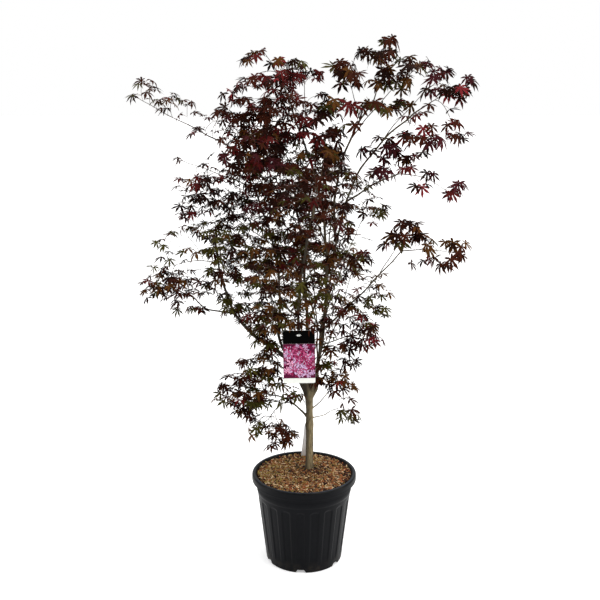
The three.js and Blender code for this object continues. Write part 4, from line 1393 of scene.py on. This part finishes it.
def makeBlossoms(half, low, high, lift):
    # loose five-petalled blossoms, one over another
    deal = random.Random(card["seed"])
    piles = {name: Parts() for name in inks}
    tones = [name for name in inks if name != "cardShade"]
    petals = turns(5)
    for count in range(card["blossoms"]):
        x, z = deal.uniform(-half + 2, half - 2), deal.uniform(low + 2, high - 2)
        room = min(half - abs(x), z - low, high - z) / 0.96
        size = min(deal.uniform(*card["blossomSize"]), room)
        depth = lift - 0.02 - 0.0016 * count
        spin = deal.uniform(0, 2 * math.pi)
        tone = deal.choice(tones)
        for a in petals + spin:
            for pile, width, back in (("cardShade", card["petalShade"], 0.0008), (tone, card["petal"], 0)):
                outline = []
                for t in turns(9):
                    u, v = 0.53 + 0.42 * math.cos(t), width * math.sin(t) * (1.1 + 0.35 * math.cos(t))
                    along, up = u * math.cos(a) - v * math.sin(a), u * math.sin(a) + v * math.cos(a)
                    outline.append((x + size * along, depth + back, z + size * up))
                piles[pile].add(hung(outline), [tuple(range(9))])
        r = size * card["eye"]
        eye = [(x + r * math.cos(t), depth - 0.0006, z + r * math.sin(t)) for t in turns(7)]
        piles["cardLilac" if tone != "cardLilac" else "cardCerise"].add(hung(eye), [tuple(range(7))])
    for name, colour in inks.items():
        cardPiece(name, piles[name], printMaterial(name, colour, 0.35, 0.08))


def makeCard():
    w, top, thick = card["width"] / 2, card["slotDrop"], card["thick"]
    foot = top - card["height"]
    headFoot, pictureFoot = top - card["header"], foot + card["strip"]
    half, lift, small, ink = w - card["border"], -thick / 2 - 0.08, card["inkCorner"], card["inkThick"]
    wide, high = card["slotSize"]
    paper = printMaterial("cardWhite", (232, 234, 226), 0.3)
    outline = roundedBox(-w, foot, w, top, card["corner"])
    cardPlate("cardBody", outline, [ovalHole(wide, high)], -thick / 2, thick / 2, paper)
    black = printMaterial("cardBlack", (4, 4, 4), 0.45, 0.01)
    corners = (small, small, card["headerCorner"], card["headerCorner"])
    outline = roundedBox(-half, headFoot, half, top - card["border"], corners)
    cardPlate("cardHeader", outline, [ovalHole(wide + 1.2, high + 1.2)], lift, lift + ink, black)
    plum = printMaterial("cardPlum", (84, 18, 50), 0.35, 0.05)
    outline = roundedBox(-half, pictureFoot, half, headFoot - 0.2, small)
    cardPlate("cardPicture", outline, [], lift, lift + ink, plum)
    makeBlossoms(half, pictureFoot, headFoot, lift)


def makeStrap(material):
    # a long thin loop through the card's slot and over a twig
    slope = math.radians(card["strapSlope"])
    down = np.array([0.0, -math.cos(slope), -math.sin(slope)])
    right = np.array([1.0, 0.0, 0.0])
    other = np.cross(down, right)
    long, wide, radius = card["strapLong"], card["strapWide"], card["strapRadius"]
    centre = np.array(slotAt) - down * long
    steps, sides = card["strapSteps"]
    points = []
    for t in turns(steps):
        squared = 1 + 0.10 * math.sin(2 * t) ** 2
        spot = centre + down * (long * math.cos(t) * squared) + right * (wide * math.sin(t) * squared)
        out = unit(down * math.cos(t) * wide + right * (long * math.sin(t)))
        for a in turns(sides):
            points.append(spot + radius * (math.cos(a) * 0.75 * out + math.sin(a) * 1.25 * other))
    faces = [tuple(reversed(face)) for face in gridFaces(steps, sides, True)]
    newPiece("cardStrap", points, faces, material, ("card_strap",))


stick = {
    "foot": (-1.6, 134.5, 266), "head": (11, 65, 414), "width": 17.0, "thick": 0.9, "bow": 3.0, "cup": 0.8,
    "rows": 34, "columns": 7, "point": 12, "headRadius": 6,
}


def makeStick(material):
    foot, head = np.array(stick["foot"], dtype=float), np.array(stick["head"], dtype=float)
    aim = unit(head - foot)
    right = np.array([1.0, 0.0, 0.0])
    facing = unit(np.cross(right, aim))
    length = float(np.linalg.norm(head - foot))
    rows, columns, r = stick["rows"], stick["columns"], stick["headRadius"]
    across = np.linspace(-1, 1, columns)
    points = []
    for i in range(rows):
        along = length * i / (rows - 1)
        half = stick["width"] / 2 * min(1.0, 0.04 + along / stick["point"])      # pointed foot
        fromHead = length - along
        if fromHead < r:
            half -= r - math.sqrt(max(r ** 2 - (r - fromHead) ** 2, 0.0))
        bow = stick["bow"] * (1 - (2 * i / (rows - 1) - 1) ** 2)
        for side, shares in ((1, across[::-1]), (-1, across)):
            for u in shares:
                edge = 0.35 if abs(u) == 1 else 1.0
                out = bow + stick["cup"] * (1 - u * u) + side * edge * stick["thick"] / 2
                points.append(foot + aim * along + right * (u * half) + facing * out)
    faces = gridFaces(rows, columns * 2)
    last = (rows - 1) * columns * 2
    for j in range(columns - 1):                               # the two ends
        cap = (columns - 1 - j, columns - 2 - j, columns + 1 + j, columns + j)
        faces += [cap, tuple(last + k for k in reversed(cap))]
    newPiece("stickLabel", points, faces, material, ("stick_label",))


makeCard()
plainPlastic = printMaterial("plainWhitePlastic", (246, 249, 251), 0.45)
makeStrap(plainPlastic)
makeStick(plainPlastic)
print("card, strap and stick label made")
